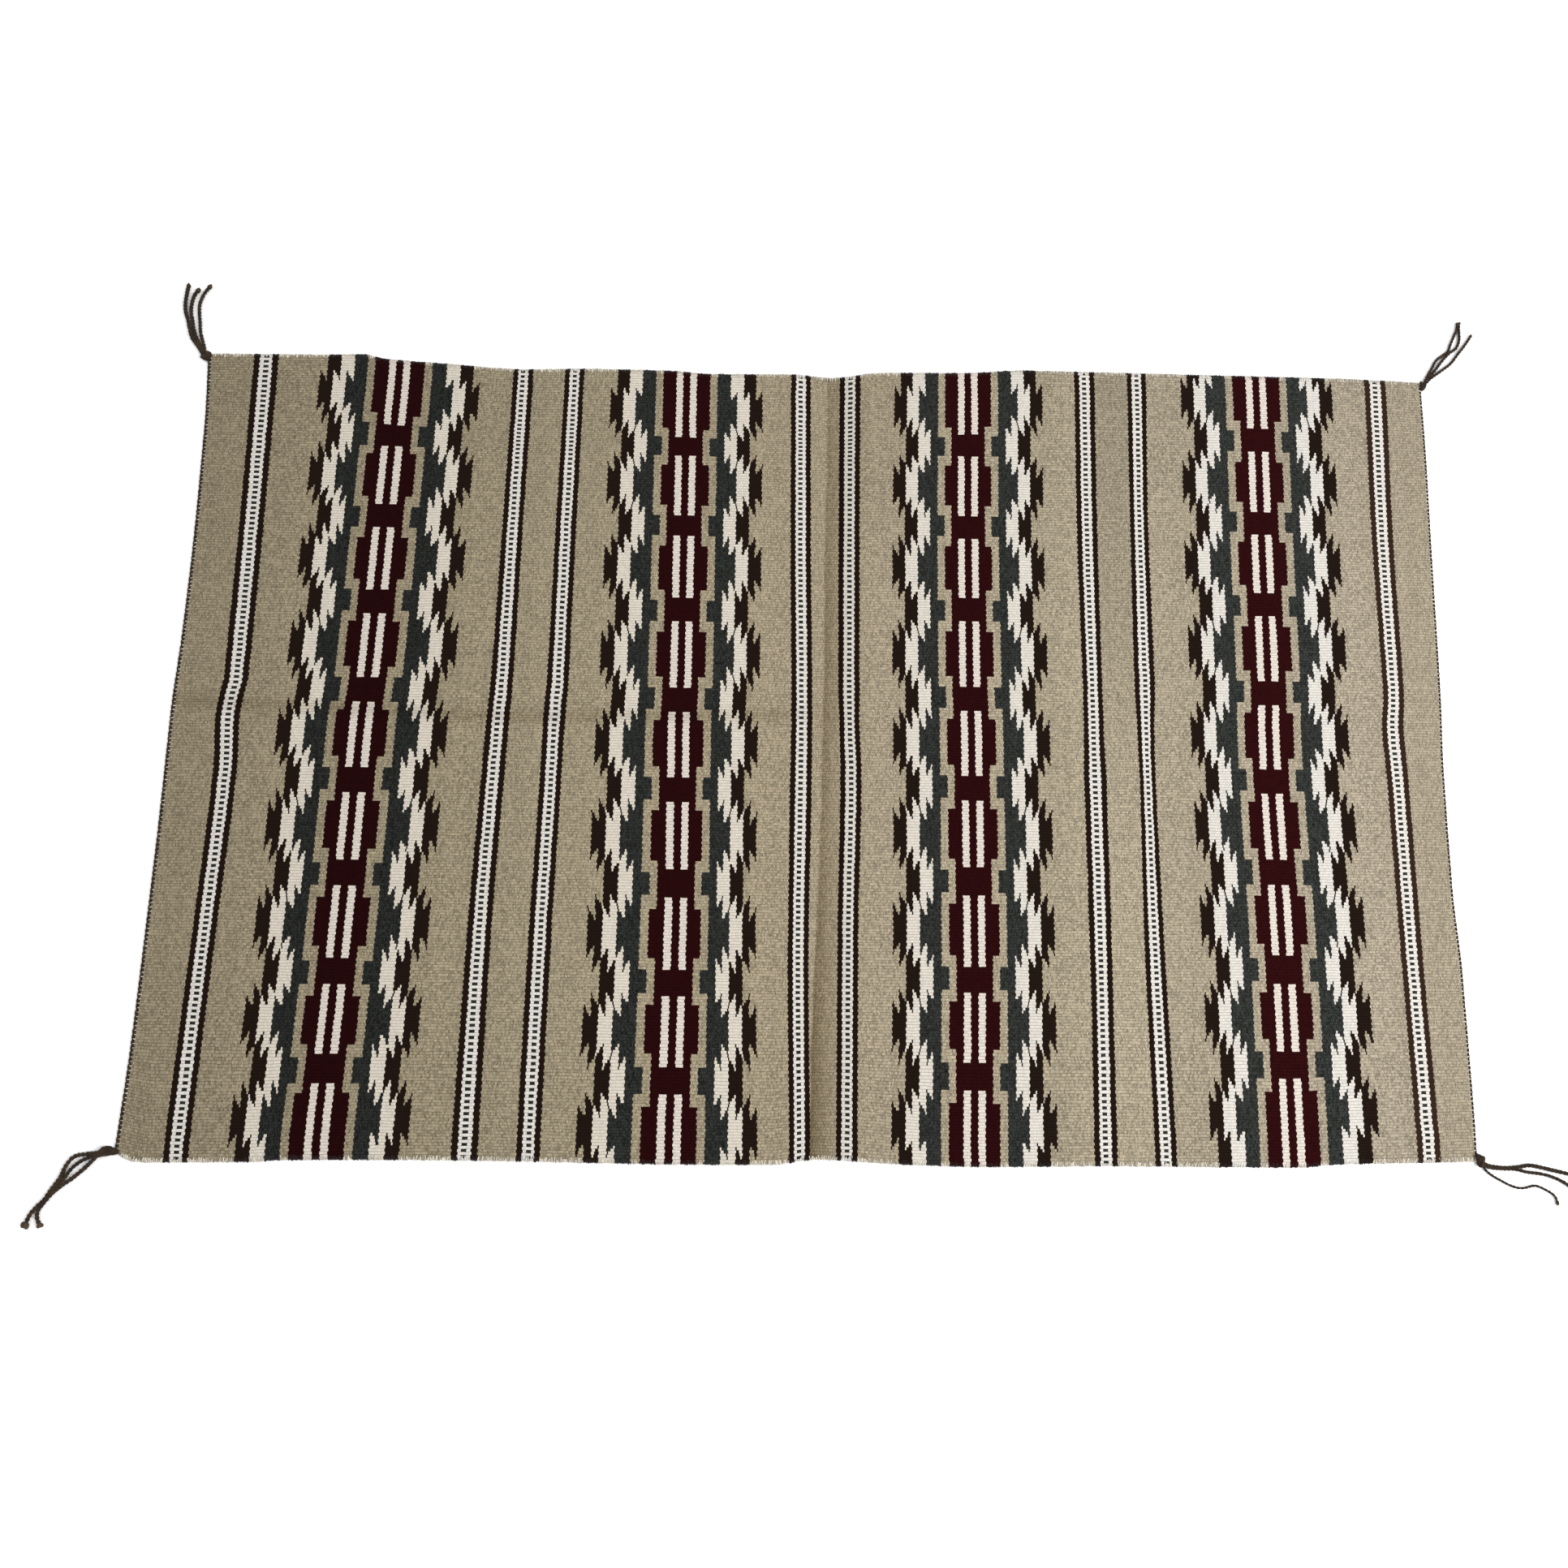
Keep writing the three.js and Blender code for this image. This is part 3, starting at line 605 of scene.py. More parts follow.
def makeYarnDyes():
    # the yarn's colour, with the ground's slow change from one spinning to the next, darker towards the near
    # and far sides, and painted light that makes the other yarns lighter towards the lamp on the right
    tree, given, result = newGroup("yarnDyes", "ShaderNodeTree", [
        ("Yarn", "NodeSocketFloat", 0.0),
        ("Place", "NodeSocketVector", None),
    ], [("Color", "NodeSocketColor"), ("Ground", "NodeSocketFloat")])

    def colorsAt(stops):
        node = put(tree, "ShaderNodeValToRGB")
        elements = node.color_ramp.elements
        for number, (share, color) in enumerate(stops):
            stop = elements[number] if number < 2 else elements.new(share)
            stop.position = share
            stop.color = color
        return node

    yarn = given["Yarn"]
    shelf = colorsAt([(number / len(yarns), color) for number, color in enumerate(yarns.values())])
    shelf.color_ramp.interpolation = "CONSTANT"
    feed(tree, shelf.inputs[0], calc(tree, "DIVIDE", calc(tree, "ADD", yarn, 0.5), float(len(yarns))))
    spot = apart(tree, given["Place"])
    leftEnd, rightEnd = groundLots[0][0], groundLots[-1][0]
    spun = colorsAt([((at - leftEnd) / (rightEnd - leftEnd), color) for at, color in groundLots])
    along = put(tree, "ShaderNodeMapRange", {0: spot["X"], 1: leftEnd, 2: rightEnd}).outputs[0]
    feed(tree, spun.inputs[0], along)
    lot = noiseAt(tree, joined(tree, spot["X"]), shades["lotScale"], 3.0)["Fac"]
    uneven = calc(tree, "ADD", ramp(tree, lot, *shades["lots"]), ramp(tree, spot["Y"], *shades["farSide"]))
    uneven = calc(tree, "ADD", uneven, ramp(tree, spot["Y"], *shades["nearSide"]))
    # between the right-hand pair of stripes the wool darkens towards the far side
    fromDarkerStrip = calc(tree, "ABSOLUTE", calc(tree, "SUBTRACT", spot["X"], loom["module"]))
    darkerStrip = calc(tree, "LESS_THAN", fromDarkerStrip, shades["darkerStripHalf"])
    darkerStrip = calc(tree, "MULTIPLY", darkerStrip, ramp(tree, spot["Y"], *shades["darkerStrip"]))
    uneven = calc(tree, "ADD", uneven, darkerStrip)
    groundColor = put(tree, "ShaderNodeHueSaturation", {
        "Color": spun.outputs[0], "Value": uneven}).outputs[0]
    # painted light: the other yarns are painted darker on the left and lighter on the right, where the
    # lamp's sheen falls, the deep ones most
    isDeep = calc(tree, "ADD", isYarn(tree, yarn, "teal"), isYarn(tree, yarn, "maroon"))
    across = put(tree, "ShaderNodeMapRange", {
        0: spot["X"], 1: -shades["paintedLightSpan"], 2: shades["paintedLightSpan"], 3: -1.0, 4: 1.0}).outputs[0]
    strength = blendValue(tree, isDeep, shades["pale"], shades["deepPaintedLight"])
    paintedLightAndLighterBrown = calc(tree, "MULTIPLY_ADD", across, strength, shades["lift"])
    # the stripe nearest the right end is woven with a lighter brown
    lighter = calc(tree, "MULTIPLY", calc(tree, "GREATER_THAN", spot["X"], shades["endStripe"]),
                   isYarn(tree, yarn, "brown"))
    # the painted light, times the lighter brown of the last stripe
    paintedLightAndLighterBrown = calc(tree, "MULTIPLY", paintedLightAndLighterBrown, blendValue(tree, lighter, 1.0, shades["endBrown"]))
    # the cream gets whiter towards the right
    whiter = calc(tree, "MULTIPLY", isYarn(tree, yarn, "cream"), ramp(tree, spot["X"], *shades["whiter"]))
    tint = blendValue(tree, whiter, 1.0, shades["creamLeft"])
    dyed = put(tree, "ShaderNodeHueSaturation", {
        "Color": shelf.outputs[0], "Value": paintedLightAndLighterBrown, "Saturation": tint}).outputs[0]
    isGround = isYarn(tree, yarn, "ground")
    feed(tree, result["Color"], blendColor(tree, isGround, dyed, groundColor))
    feed(tree, result["Ground"], isGround)
    arrange(tree)
    return tree


fibres = {
    "fleckStretch": (1.0, 0.35, 1.0),
    "fleckScale": 0.9,
    "streakStretch": (0.8, 1.0, 1.0),
    "streakScale": 0.62,
    "contrast": 4.0,
    "roughness": (0.2, 0.8, 0.86, 1.0),  # noise from and to, roughness there
}


def makeSpunWool():
    # heather: fibres along the yarn, and a different shade for each bead or strand
    tree, given, result = newGroup("spunWool", "ShaderNodeTree", [
        ("Color", "NodeSocketColor", (0.5, 0.5, 0.5, 1)),
        ("Place", "NodeSocketVector", None),
        ("Chance", "NodeSocketFloat", 0.5),
        ("Fleck", "NodeSocketFloat", 0.25),
        ("Streak", "NodeSocketFloat", 0.15),
    ], [("Color", "NodeSocketColor"), ("Fibre", "NodeSocketFloat"), ("Roughness", "NodeSocketFloat")])
    along = vectorCalc(tree, "MULTIPLY", given["Place"], fibres["fleckStretch"])
    fleck = noiseAt(tree, along, fibres["fleckScale"], 4.0, Roughness=0.7)["Fac"]
    longer = vectorCalc(tree, "MULTIPLY", given["Place"], fibres["streakStretch"])
    streak = noiseAt(tree, longer, fibres["streakScale"], 2.0)["Fac"]
    shade = 1.0
    for noise, strength in ((fleck, "Fleck"), (streak, "Streak")):
        shade = calc(tree, "MULTIPLY_ADD", calc(tree, "SUBTRACT", noise, 0.5),
                     calc(tree, "MULTIPLY", given[strength], fibres["contrast"]), shade)
    shade = calc(tree, "MULTIPLY_ADD", calc(tree, "SUBTRACT", given["Chance"], 0.5), given["Fleck"], shade)
    tinted = put(tree, "ShaderNodeHueSaturation", {"Color": given["Color"], "Value": shade}).outputs[0]
    feed(tree, result["Color"], tinted)
    feed(tree, result["Fibre"], fleck)
    feed(tree, result["Roughness"], ramp(tree, fleck, *fibres["roughness"]))
    arrange(tree)
    return tree


weaveCells = makeWeaveCells()
loomChart = makeLoomChart()
yarnDyes = makeYarnDyes()
spunWool = makeSpunWool()
print("shader groups made")


finishes = {  # bump strength and depth in metres, sheen and its roughness, and shine
    "woven wool": (0.5, 0.0006, 0.01, 0.6, 0.015),
    "brown twine": (0.5, 0.0003, 0.04, 0.5, 0.2),
    "selvedge weft": (0.4, 0.0003, 0.1, 0.5, 0.15),
    "pale warp": (0.4, 0.0003, 0.0, 0.5, 0.15),
}


def newMaterial(name):
    material = bpy.data.materials.new(name)
    material.use_nodes = True
    tree = material.node_tree
    return material, tree, tree.nodes["Principled BSDF"]


def finishWool(material, color, wool, height):
    # the material's colour, its roughness from the fibres, and its own bump, sheen and shine
    tree = material.node_tree
    sockets = tree.nodes["Principled BSDF"].inputs
    strength, depth, sheen, sheenRoughness, shine = finishes[material.name]
    feed(tree, sockets["Base Color"], color)
    feed(tree, sockets["Roughness"], wool["Roughness"])
    bump = put(tree, "ShaderNodeBump", {"Strength": strength, "Distance": depth, "Height": height})
    feed(tree, sockets["Normal"], bump.outputs[0])
    sockets["Sheen Weight"].default_value = sheen
    sockets["Sheen Roughness"].default_value = sheenRoughness
    sockets["Specular IOR Level"].default_value = shine
    arrange(tree)
    return material


wovenLook = {
    "flecks": {"teal": 0.85, "maroon": 0.3, "ground": 0.54, "others": 0.16},
    "streaks": 0.5,  # of the flecks
    "gap": (0.7, (0.27, 0.25, 0.21, 1)),  # strength and colour of the painted shade between the beads
    # strength and colour of the painted shade beside the creases
    "worn": (1.15, (0.2, 0.13, 0.0, 1)),
    "fibreHeight": 0.35,
}


def makeWovenWool():
    material, tree, _ = newMaterial("woven wool")
    where = vectorCalc(tree, "SCALE", put(tree, "ShaderNodeUVMap", uv_map="loom").outputs[0], 1000.0)
    cells = useGroup(tree, weaveCells, {"Place": where})
    yarn = useGroup(tree, loomChart, {"Cell": cells["Cell"], "Odd Warp": cells["Odd Warp"]})["Yarn"]
    dyed = useGroup(tree, yarnDyes, {"Yarn": yarn, "Place": cells["Cell"]})
    fleck = wovenLook["flecks"]["others"]
    for name in ("ground", "maroon", "teal"):
        fleck = blendValue(tree, isYarn(tree, yarn, name), fleck, wovenLook["flecks"][name])
    streak = calc(tree, "MULTIPLY", fleck, wovenLook["streaks"])
    wool = useGroup(tree, spunWool, {"Color": dyed["Color"], "Place": where, "Chance": cells["Chance"],
                                     "Fleck": fleck, "Streak": streak})
    shaded = wool["Color"]
    # painted shade: the gaps between the beads and the creases' sides are darkened by multiplying
    for mask, look in ((cells["Gap Shade"], "gap"), (attribute(tree, "worn")["Fac"], "worn")):
        strength, color = wovenLook[look]
        shaded = blendColor(tree, calc(tree, "MULTIPLY", mask, strength), shaded, color, "MULTIPLY")
    height = calc(tree, "MULTIPLY_ADD", wool["Fibre"], wovenLook["fibreHeight"], cells["Height"])
    return finishWool(material, shaded, wool, height)


wovenWool = makeWovenWool()


# the cloth

def clothColumns():
    # loom places of the mesh's columns: the pattern's knots, the rounded ends, the crease, even fill
    ends = [cloth["halfWidth"] - inward for inward in cloth["endColumns"]]
    lines = {side * at for at in ends + list(cloth["creaseColumns"]) for side in (-1, 1)}
    lines = sorted(lines | {knot for knot, _ in cloth["knots"]})
    filled = []
    for low, high in zip(lines, lines[1:]):
        count = max(1, math.ceil((high - low) / cloth["widestColumn"]))
        filled += [low + (high - low) * k / count for k in range(count)]
    return np.array(filled + [lines[-1]], float)


def followCrease(columns, v):
    # the columns between the two middle stripes lean with the crease, so that one of them lies in it
    knots, floor = rowKnots(v)
    side, end = loom["stripeFrom"] - loom["stripeHalf"], cloth["halfWidth"]
    low, high = np.interp([-side, side], knots, floor)
    y = onFloor(np.array([0.0]), v)[1]
    crease = -side + 2 * side * (float(creaseAt(y)[0]) - low) / (high - low)
    return np.interp(columns, [-end, -side, 0, side, end], [-end, -side, crease, side, end])


def edgeDrop(distance):
    # the share of the half thickness that is left this far from the cloth's side
    share = np.clip(1 - distance / cloth["edgeRound"], 0, 1)
    return np.sqrt(1 - share**2)


bakeMap = {  # shares of the baked picture: the top above, the underside below it, the wall between
    "margin": 0.005,
    "span": 0.99,
    "top": (0.36, 0.635),  # from, and how high
    "under": (0.01, 0.335),
    "wall": (0.349, 0.356),
}


def makeCloth():
    columns = clothColumns()
    rows = np.linspace(-cloth["halfDepth"], cloth["halfDepth"], 2 * cloth["warps"] + 1)
    wide, deep = len(columns), len(rows)
    top = np.zeros((deep, wide, 3))
    under = np.zeros((deep, wide, 3))
    loomPlaces = np.zeros((deep, wide, 2))
    worn = np.zeros((deep, wide))
    for j, v in enumerate(rows):
        u = followCrease(columns, v)
        x, y = onFloor(u, v)
        drop = edgeDrop(cloth["halfDepth"] - abs(v)) * edgeDrop(cloth["halfWidth"] - np.abs(u))
        rib = cloth["ribRise"] * (0.5 if j % 2 else -0.5)
        high = topHeight(x, y) + rib
        low = cloth["ribRise"] * (0 if j % 2 else 1)
        middle = (high + low) / 2
        half = cloth["edgeWall"] / 2 + ((high - low) / 2 - cloth["edgeWall"] / 2) * drop
        top[j] = np.stack([x, y, middle + half], 1)
        under[j] = np.stack([x, y, middle - half], 1)
        loomPlaces[j] = np.stack([u, np.full(wide, v)], 1)
        # painted shade beside the creases, kept for the wool's colour
        worn[j] = paintedCreaseShadeAt(x, y)
    points = np.concatenate([top.reshape(-1, 3), under.reshape(-1, 3)])
    points = (points + (shift[0], shift[1], 0)) / 1000
    count = deep * wide
    at = np.arange(count).reshape(deep, wide)
    quads = np.stack([at[:-1, :-1], at[:-1, 1:], at[1:, 1:], at[1:, :-1]], -1).reshape(-1, 4)
    rim = np.concatenate([at[0, :-1], at[:-1, -1], at[-1, :0:-1], at[:0:-1, 0]])
    ahead = np.roll(rim, -1)
    wall = np.stack([rim, rim + count, ahead + count, ahead], 1)
    faces = np.concatenate([quads, quads[:, ::-1] + count, wall])
    piece = addMesh("rug_weave", points.tolist(), faces.tolist())
    mesh = piece.data

    # the painted crease shade, on the top and the underside
    mesh.attributes.new("worn", "FLOAT", "POINT").data.foreach_set("value", np.tile(worn.ravel(), 2))
    flat = np.concatenate([loomPlaces.reshape(-1, 2)] * 2) / 1000
    corner = np.zeros(len(mesh.loops), int)
    mesh.loops.foreach_get("vertex_index", corner)
    mesh.uv_layers.new(name="loom").data.foreach_set("uv", flat[corner].ravel())

    # the baking map: top, underside, and the wall in a thin strip
    halves = np.array((cloth["halfWidth"], cloth["halfDepth"])) / 1000
    share = (flat + halves) / (2 * halves)
    spread = np.zeros((len(corner), 2))
    margin, span = bakeMap["margin"], bakeMap["span"]
    topLoops, underLoops = 4 * len(quads), 8 * len(quads)
    for loops, side in ((slice(0, topLoops), "top"), (slice(topLoops, underLoops), "under")):
        start, high = bakeMap[side]
        spread[loops] = share[corner[loops]] * (span, high) + (margin, start)
    starts = margin + span * np.arange(len(rim)) / len(rim)
    ends = starts + span / len(rim)
    low, high = (np.full(len(rim), level) for level in bakeMap["wall"])
    strip = [np.stack(pair, 1) for pair in ((starts, high), (starts, low), (ends, low), (ends, high))]
    spread[underLoops:] = np.stack(strip, 1).reshape(-1, 2)
    mesh.uv_layers.new(name="OFBake").data.foreach_set("uv", spread.ravel())

    # smooth along the ribs, sharp across them
    mesh.shade_smooth()
    pairs = np.zeros(2 * len(mesh.edges), int)
    mesh.edges.foreach_get("vertices", pairs)
    pairs = pairs.reshape(-1, 2)
    alongRib = np.abs(pairs[:, 0] - pairs[:, 1]) == 1
    sharp = mesh.attributes.new("sharp_edge", "BOOLEAN", "EDGE")
    sharp.data.foreach_set("value", alongRib)
    mesh.materials.append(wovenWool)
    mesh.validate()
    return piece


rugWeave = makeCloth()
print("cloth woven:", len(rugWeave.data.polygons), "faces")


# yarn as geometry: plied cord, loops round an edge, and stray fibres

def tube(tree, curve, sides, radius, **more):
    profile = put(tree, "GeometryNodeCurvePrimitiveCircle", {"Resolution": sides, "Radius": radius})
    return put(tree, "GeometryNodeCurveToMesh", {
        "Curve": curve, "Profile Curve": profile.outputs["Curve"], "Fill Caps": True, **more}).outputs[0]


def bentCurve(tree, resolution, *points):
    # a curved piece through its start, its two handles and its end
    names = ("Start", "Start Handle", "End Handle", "End")
    return put(tree, "GeometryNodeCurvePrimitiveBezierSegment",
               {"Resolution": resolution, **dict(zip(names, points))}, mode="POSITION").outputs[0]


def randomVector(tree, low, high, seed):
    return put(tree, "FunctionNodeRandomValue", {"Min": low, "Max": high, "Seed": seed},
               data_type="FLOAT_VECTOR").outputs[0]


def randomValue(tree, low, high, seed):
    return put(tree, "FunctionNodeRandomValue", {2: low, 3: high, "Seed": seed},
               data_type="FLOAT").outputs[1]


def scatter(tree, points, piece, rotation, angles, size):
    # copies of a piece on the points, each turned further by its own angles
    further = put(tree, "FunctionNodeEulerToRotation", {0: angles}).outputs[0]
    turned = put(tree, "FunctionNodeRotateRotation", {"Rotation": rotation, "Rotate By": further},
                 rotation_space="LOCAL").outputs[0]
    return put(tree, "GeometryNodeInstanceOnPoints", {
        "Points": points, "Instance": piece, "Rotation": turned, "Scale": size}).outputs[0]


def keepAs(tree, name, geometry, value, domain):
    return put(tree, "GeometryNodeStoreNamedAttribute", {"Geometry": geometry, "Name": name, "Value": value},
               data_type="FLOAT", domain=domain).outputs[0]


def smoothed(tree, geometry):
    return put(tree, "GeometryNodeSetShadeSmooth", {"Geometry": geometry}).outputs[0]


def dressed(tree, geometry, wool, result):
    real = put(tree, "GeometryNodeRealizeInstances", {"Geometry": geometry})
    woolly = put(tree, "GeometryNodeSetMaterial", {"Geometry": real.outputs[0], "Material": wool})
    feed(tree, result[0], woolly.outputs[0])
    arrange(tree)
    return tree


def makePliedCord():
    tree, given, result = newGroup("pliedCord", "GeometryNodeTree", [
        ("Route", "NodeSocketGeometry", None),
        ("Plies", "NodeSocketInt", 2),
        ("Ply Radius", "NodeSocketFloat", 0.0008),
        ("Ply Offset", "NodeSocketFloat", 0.0007),
        ("Lay", "NodeSocketFloat", 0.009),  # the length of one full twist
        ("Step", "NodeSocketFloat", 0.001),
        ("Sides", "NodeSocketInt", 6),
        ("Unevenness", "NodeSocketFloat", 0.12),
        ("Frayed Length", "NodeSocketFloat", 0.0),
        ("Frayed Spread", "NodeSocketFloat", 1.0),
        ("Frayed Swell", "NodeSocketFloat", 0.5),
        ("Seed", "NodeSocketFloat", 1.0),
        ("Wool", "NodeSocketMaterial", None),
    ], [("Cord", "NodeSocketGeometry")])
    line = put(tree, "GeometryNodeResampleCurve", {"Curve": given["Route"], "Length": given["Step"]},
               mode="LENGTH").outputs[0]
    copies = put(tree, "GeometryNodeDuplicateElements", {"Geometry": line, "Amount": given["Plies"]},
                 domain="SPLINE").outputs
    travelled = put(tree, "GeometryNodeSplineParameter").outputs["Length"]
    left = calc(tree, "SUBTRACT", put(tree, "GeometryNodeSplineLength").outputs["Length"], travelled)
    left = calc(tree, "DIVIDE", left, calc(tree, "MAXIMUM", given["Frayed Length"], 1e-6))
    fray = calc(tree, "MAXIMUM", calc(tree, "SUBTRACT", 1.0, left), 0.0)
    width = put(tree, "GeometryNodeInputRadius").outputs[0]
    here = put(tree, "GeometryNodeInputPosition").outputs[0]
    lump = put(tree, "ShaderNodeTexNoise", {
        "Vector": here, "W": given["Seed"], "Scale": 130.0, "Detail": 1.0},
        noise_dimensions="4D").outputs["Fac"]
    lump = calc(tree, "MULTIPLY", calc(tree, "SUBTRACT", lump, 0.5),
                calc(tree, "MULTIPLY", given["Unevenness"], 4.0))
    turns = calc(tree, "ADD", calc(tree, "DIVIDE", travelled, given["Lay"]),
                 calc(tree, "DIVIDE", copies["Duplicate Index"], given["Plies"]))
    angle = calc(tree, "MULTIPLY", calc(tree, "ADD", turns, lump), 2 * math.pi)
    normal = put(tree, "GeometryNodeInputNormal").outputs[0]
    sideways = vectorCalc(tree, "CROSS_PRODUCT", put(tree, "GeometryNodeInputTangent").outputs[0], normal)
    offset = vectorCalc(tree, "ADD", vectorCalc(tree, "SCALE", normal, calc(tree, "COSINE", angle)),
                        vectorCalc(tree, "SCALE", sideways, calc(tree, "SINE", angle)))
    spread = calc(tree, "MULTIPLY_ADD", calc(tree, "MULTIPLY", fray, fray), given["Frayed Spread"], 1.0)
    spread = calc(tree, "MULTIPLY", calc(tree, "MULTIPLY", spread, given["Ply Offset"]), width)
    moved = put(tree, "GeometryNodeSetPosition", {
        "Geometry": copies["Geometry"], "Offset": vectorCalc(tree, "SCALE", offset, spread)}).outputs[0]
    swell = calc(tree, "MULTIPLY", width, calc(tree, "MULTIPLY_ADD", fray, given["Frayed Swell"], 1.0))
    size = calc(tree, "MULTIPLY", calc(tree, "ADD", lump, 1.0), swell)
    plies = tube(tree, keepAs(tree, "frayed", moved, fray, "POINT"), given["Sides"], given["Ply Radius"],
                 Scale=size)
    return dressed(tree, smoothed(tree, plies), given["Wool"], result)


def makeEdgeLoops():
    # loops of yarn turned round an edge, such as the weft at a selvedge
    tree, given, result = newGroup("edgeLoops", "GeometryNodeTree", [
        ("Edge", "NodeSocketGeometry", None),
        ("Spacing", "NodeSocketFloat", 0.0017),
        ("Reach", "NodeSocketFloat", 0.0011),
        ("Inset", "NodeSocketFloat", 0.0016),
        ("Height", "NodeSocketFloat", 0.0020),
        ("Yarn Radius", "NodeSocketFloat", 0.0005),
        ("Unevenness", "NodeSocketFloat", 0.3),
        ("Lean", "NodeSocketFloat", 0.3),
        ("Seed", "NodeSocketInt", 3),
        ("Wool", "NodeSocketMaterial", None),
    ], [("Loops", "NodeSocketGeometry")])
    line = put(tree, "GeometryNodeMeshToCurve", {"Mesh": given["Edge"]}).outputs[0]
    line = put(tree, "GeometryNodeResampleCurve", {"Curve": line, "Length": given["Spacing"]},
               mode="LENGTH").outputs[0]
    rise = calc(tree, "MULTIPLY", given["Height"], 0.5)
    fall = calc(tree, "MULTIPLY", rise, -1.0)
    back = calc(tree, "MULTIPLY", given["Inset"], -1.0)
    reach = calc(tree, "MULTIPLY", given["Reach"], 1.33)  # the handles stand a third further out
    arc = bentCurve(tree, 6, joined(tree, back, z=rise), joined(tree, reach, z=rise),
                    joined(tree, reach, z=fall), joined(tree, back, z=fall))
    loop = smoothed(tree, tube(tree, arc, 5, given["Yarn Radius"]))
    outward = vectorCalc(tree, "CROSS_PRODUCT", put(tree, "GeometryNodeInputTangent").outputs[0], (0, 0, 1))
    facing = put(tree, "FunctionNodeAxesToRotation", {
        "Primary Axis": outward, "Secondary Axis": (0.0, 0.0, 1.0)},
        primary_axis="X", secondary_axis="Z").outputs[0]
    lean = randomVector(tree, (-0.15, 0, -1.0), (0.15, 0, 1.0), given["Seed"])
    chance = randomVector(tree, (-1, -1, -0.3), (1, 1, 0.1), calc(tree, "ADD", given["Seed"], 7.0))
    size = vectorCalc(tree, "ADD", vectorCalc(tree, "SCALE", chance, given["Unevenness"]), (1.0, 1.0, 1.0))
    placed = scatter(tree, line, loop, facing, vectorCalc(tree, "SCALE", lean, given["Lean"]), size)
    shade = randomValue(tree, 0.0, 1.0, calc(tree, "ADD", given["Seed"], 13.0))
    return dressed(tree, keepAs(tree, "chance", placed, shade, "INSTANCE"), given["Wool"], result)


def makeStrayFibres():
    # short curved hairs that stand out of a yarn's surface
    tree, given, result = newGroup("strayFibres", "GeometryNodeTree", [
        ("Surface", "NodeSocketGeometry", None),
        ("Density", "NodeSocketFloat", 60000.0),
        ("Length", "NodeSocketFloat", 0.003),
        ("Thickness", "NodeSocketFloat", 0.00005),
        ("Slant", "NodeSocketFloat", 0.9),
        ("Seed", "NodeSocketInt", 5),
        ("Wool", "NodeSocketMaterial", None),
    ], [("Fibres", "NodeSocketGeometry")])
    spots = put(tree, "GeometryNodeDistributePointsOnFaces", {
        "Mesh": given["Surface"], "Density": given["Density"], "Seed": given["Seed"]}).outputs
    bends = ((0.0, -0.05), (0.05, 0.4), (0.35, 0.75), (0.8, 0.6))  # sideways and outward, in lengths
    points = [vectorCalc(tree, "SCALE", (x, 0.0, z), given["Length"]) for x, z in bends]
    along = put(tree, "GeometryNodeSplineParameter").outputs["Factor"]
    taper = calc(tree, "SUBTRACT", 1.0, calc(tree, "MULTIPLY", along, 0.8))
    hair = tube(tree, bentCurve(tree, 4, *points), 3, given["Thickness"], Scale=taper)
    tilt = randomVector(tree, (-1, -1, -3.5), (1, 1, 3.5), given["Seed"])
    tilt = vectorCalc(tree, "SCALE", tilt, given["Slant"])
    size = randomValue(tree, 0.4, 1.3, calc(tree, "ADD", given["Seed"], 2.0))
    placed = scatter(tree, spots["Points"], hair, spots["Rotation"], tilt, size)
    return dressed(tree, placed, given["Wool"], result)


pliedCord = makePliedCord()
edgeLoops = makeEdgeLoops()
strayFibres = makeStrayFibres()
print("geometry trees made")


def grow(source, tree, values, name):
    # the tree's result on this source, as a plain mesh piece; sizes and places are in metres
    modifier = source.modifiers.new(tree.name, "NODES")
    modifier.node_group = tree
    sockets = {item.name: item.identifier for item in tree.interface.items_tree if item.in_out == "INPUT"}
    for key, value in values.items():
        modifier[sockets[key]] = value
    source.update_tag()
    bpy.context.view_layer.update()
    ready = source.evaluated_get(bpy.context.evaluated_depsgraph_get())
    mesh = bpy.data.meshes.new_from_object(ready)
    mesh.name = name
    source.modifiers.remove(modifier)
    for vertex in mesh.vertices:
        vertex.co.z = max(vertex.co.z, 0.0)
    return addObject(name, mesh)


def growOnce(source, tree, values, name):
    piece = grow(source, tree, values, name)
    bpy.data.objects.remove(source)
    return piece


def inMetres(sizes):
    return {name: size / 1000 for name, size in sizes.items()}


def joinPieces(name, parts):
    first = parts[0]
    if len(parts) > 1:
        with bpy.context.temp_override(active_object=first, selected_editable_objects=parts,
                                       selected_objects=parts, object=first):
            bpy.ops.object.join()
    first.name = name
    first.data.name = name
    return first


def addRoutes(name, routes):
    # a curve of straight pieces: each route is a list of (x, y, z, width)
    data = bpy.data.curves.new(name, "CURVE")
    data.dimensions = "3D"
    for route in routes:
        spline = data.splines.new("POLY")
        spline.points.add(len(route) - 1)
        for spot, (x, y, z, width) in zip(spline.points, route):
            spot.co = (*place(x, y, z), 1)
            spot.radius = width
    return addObject(name, data)


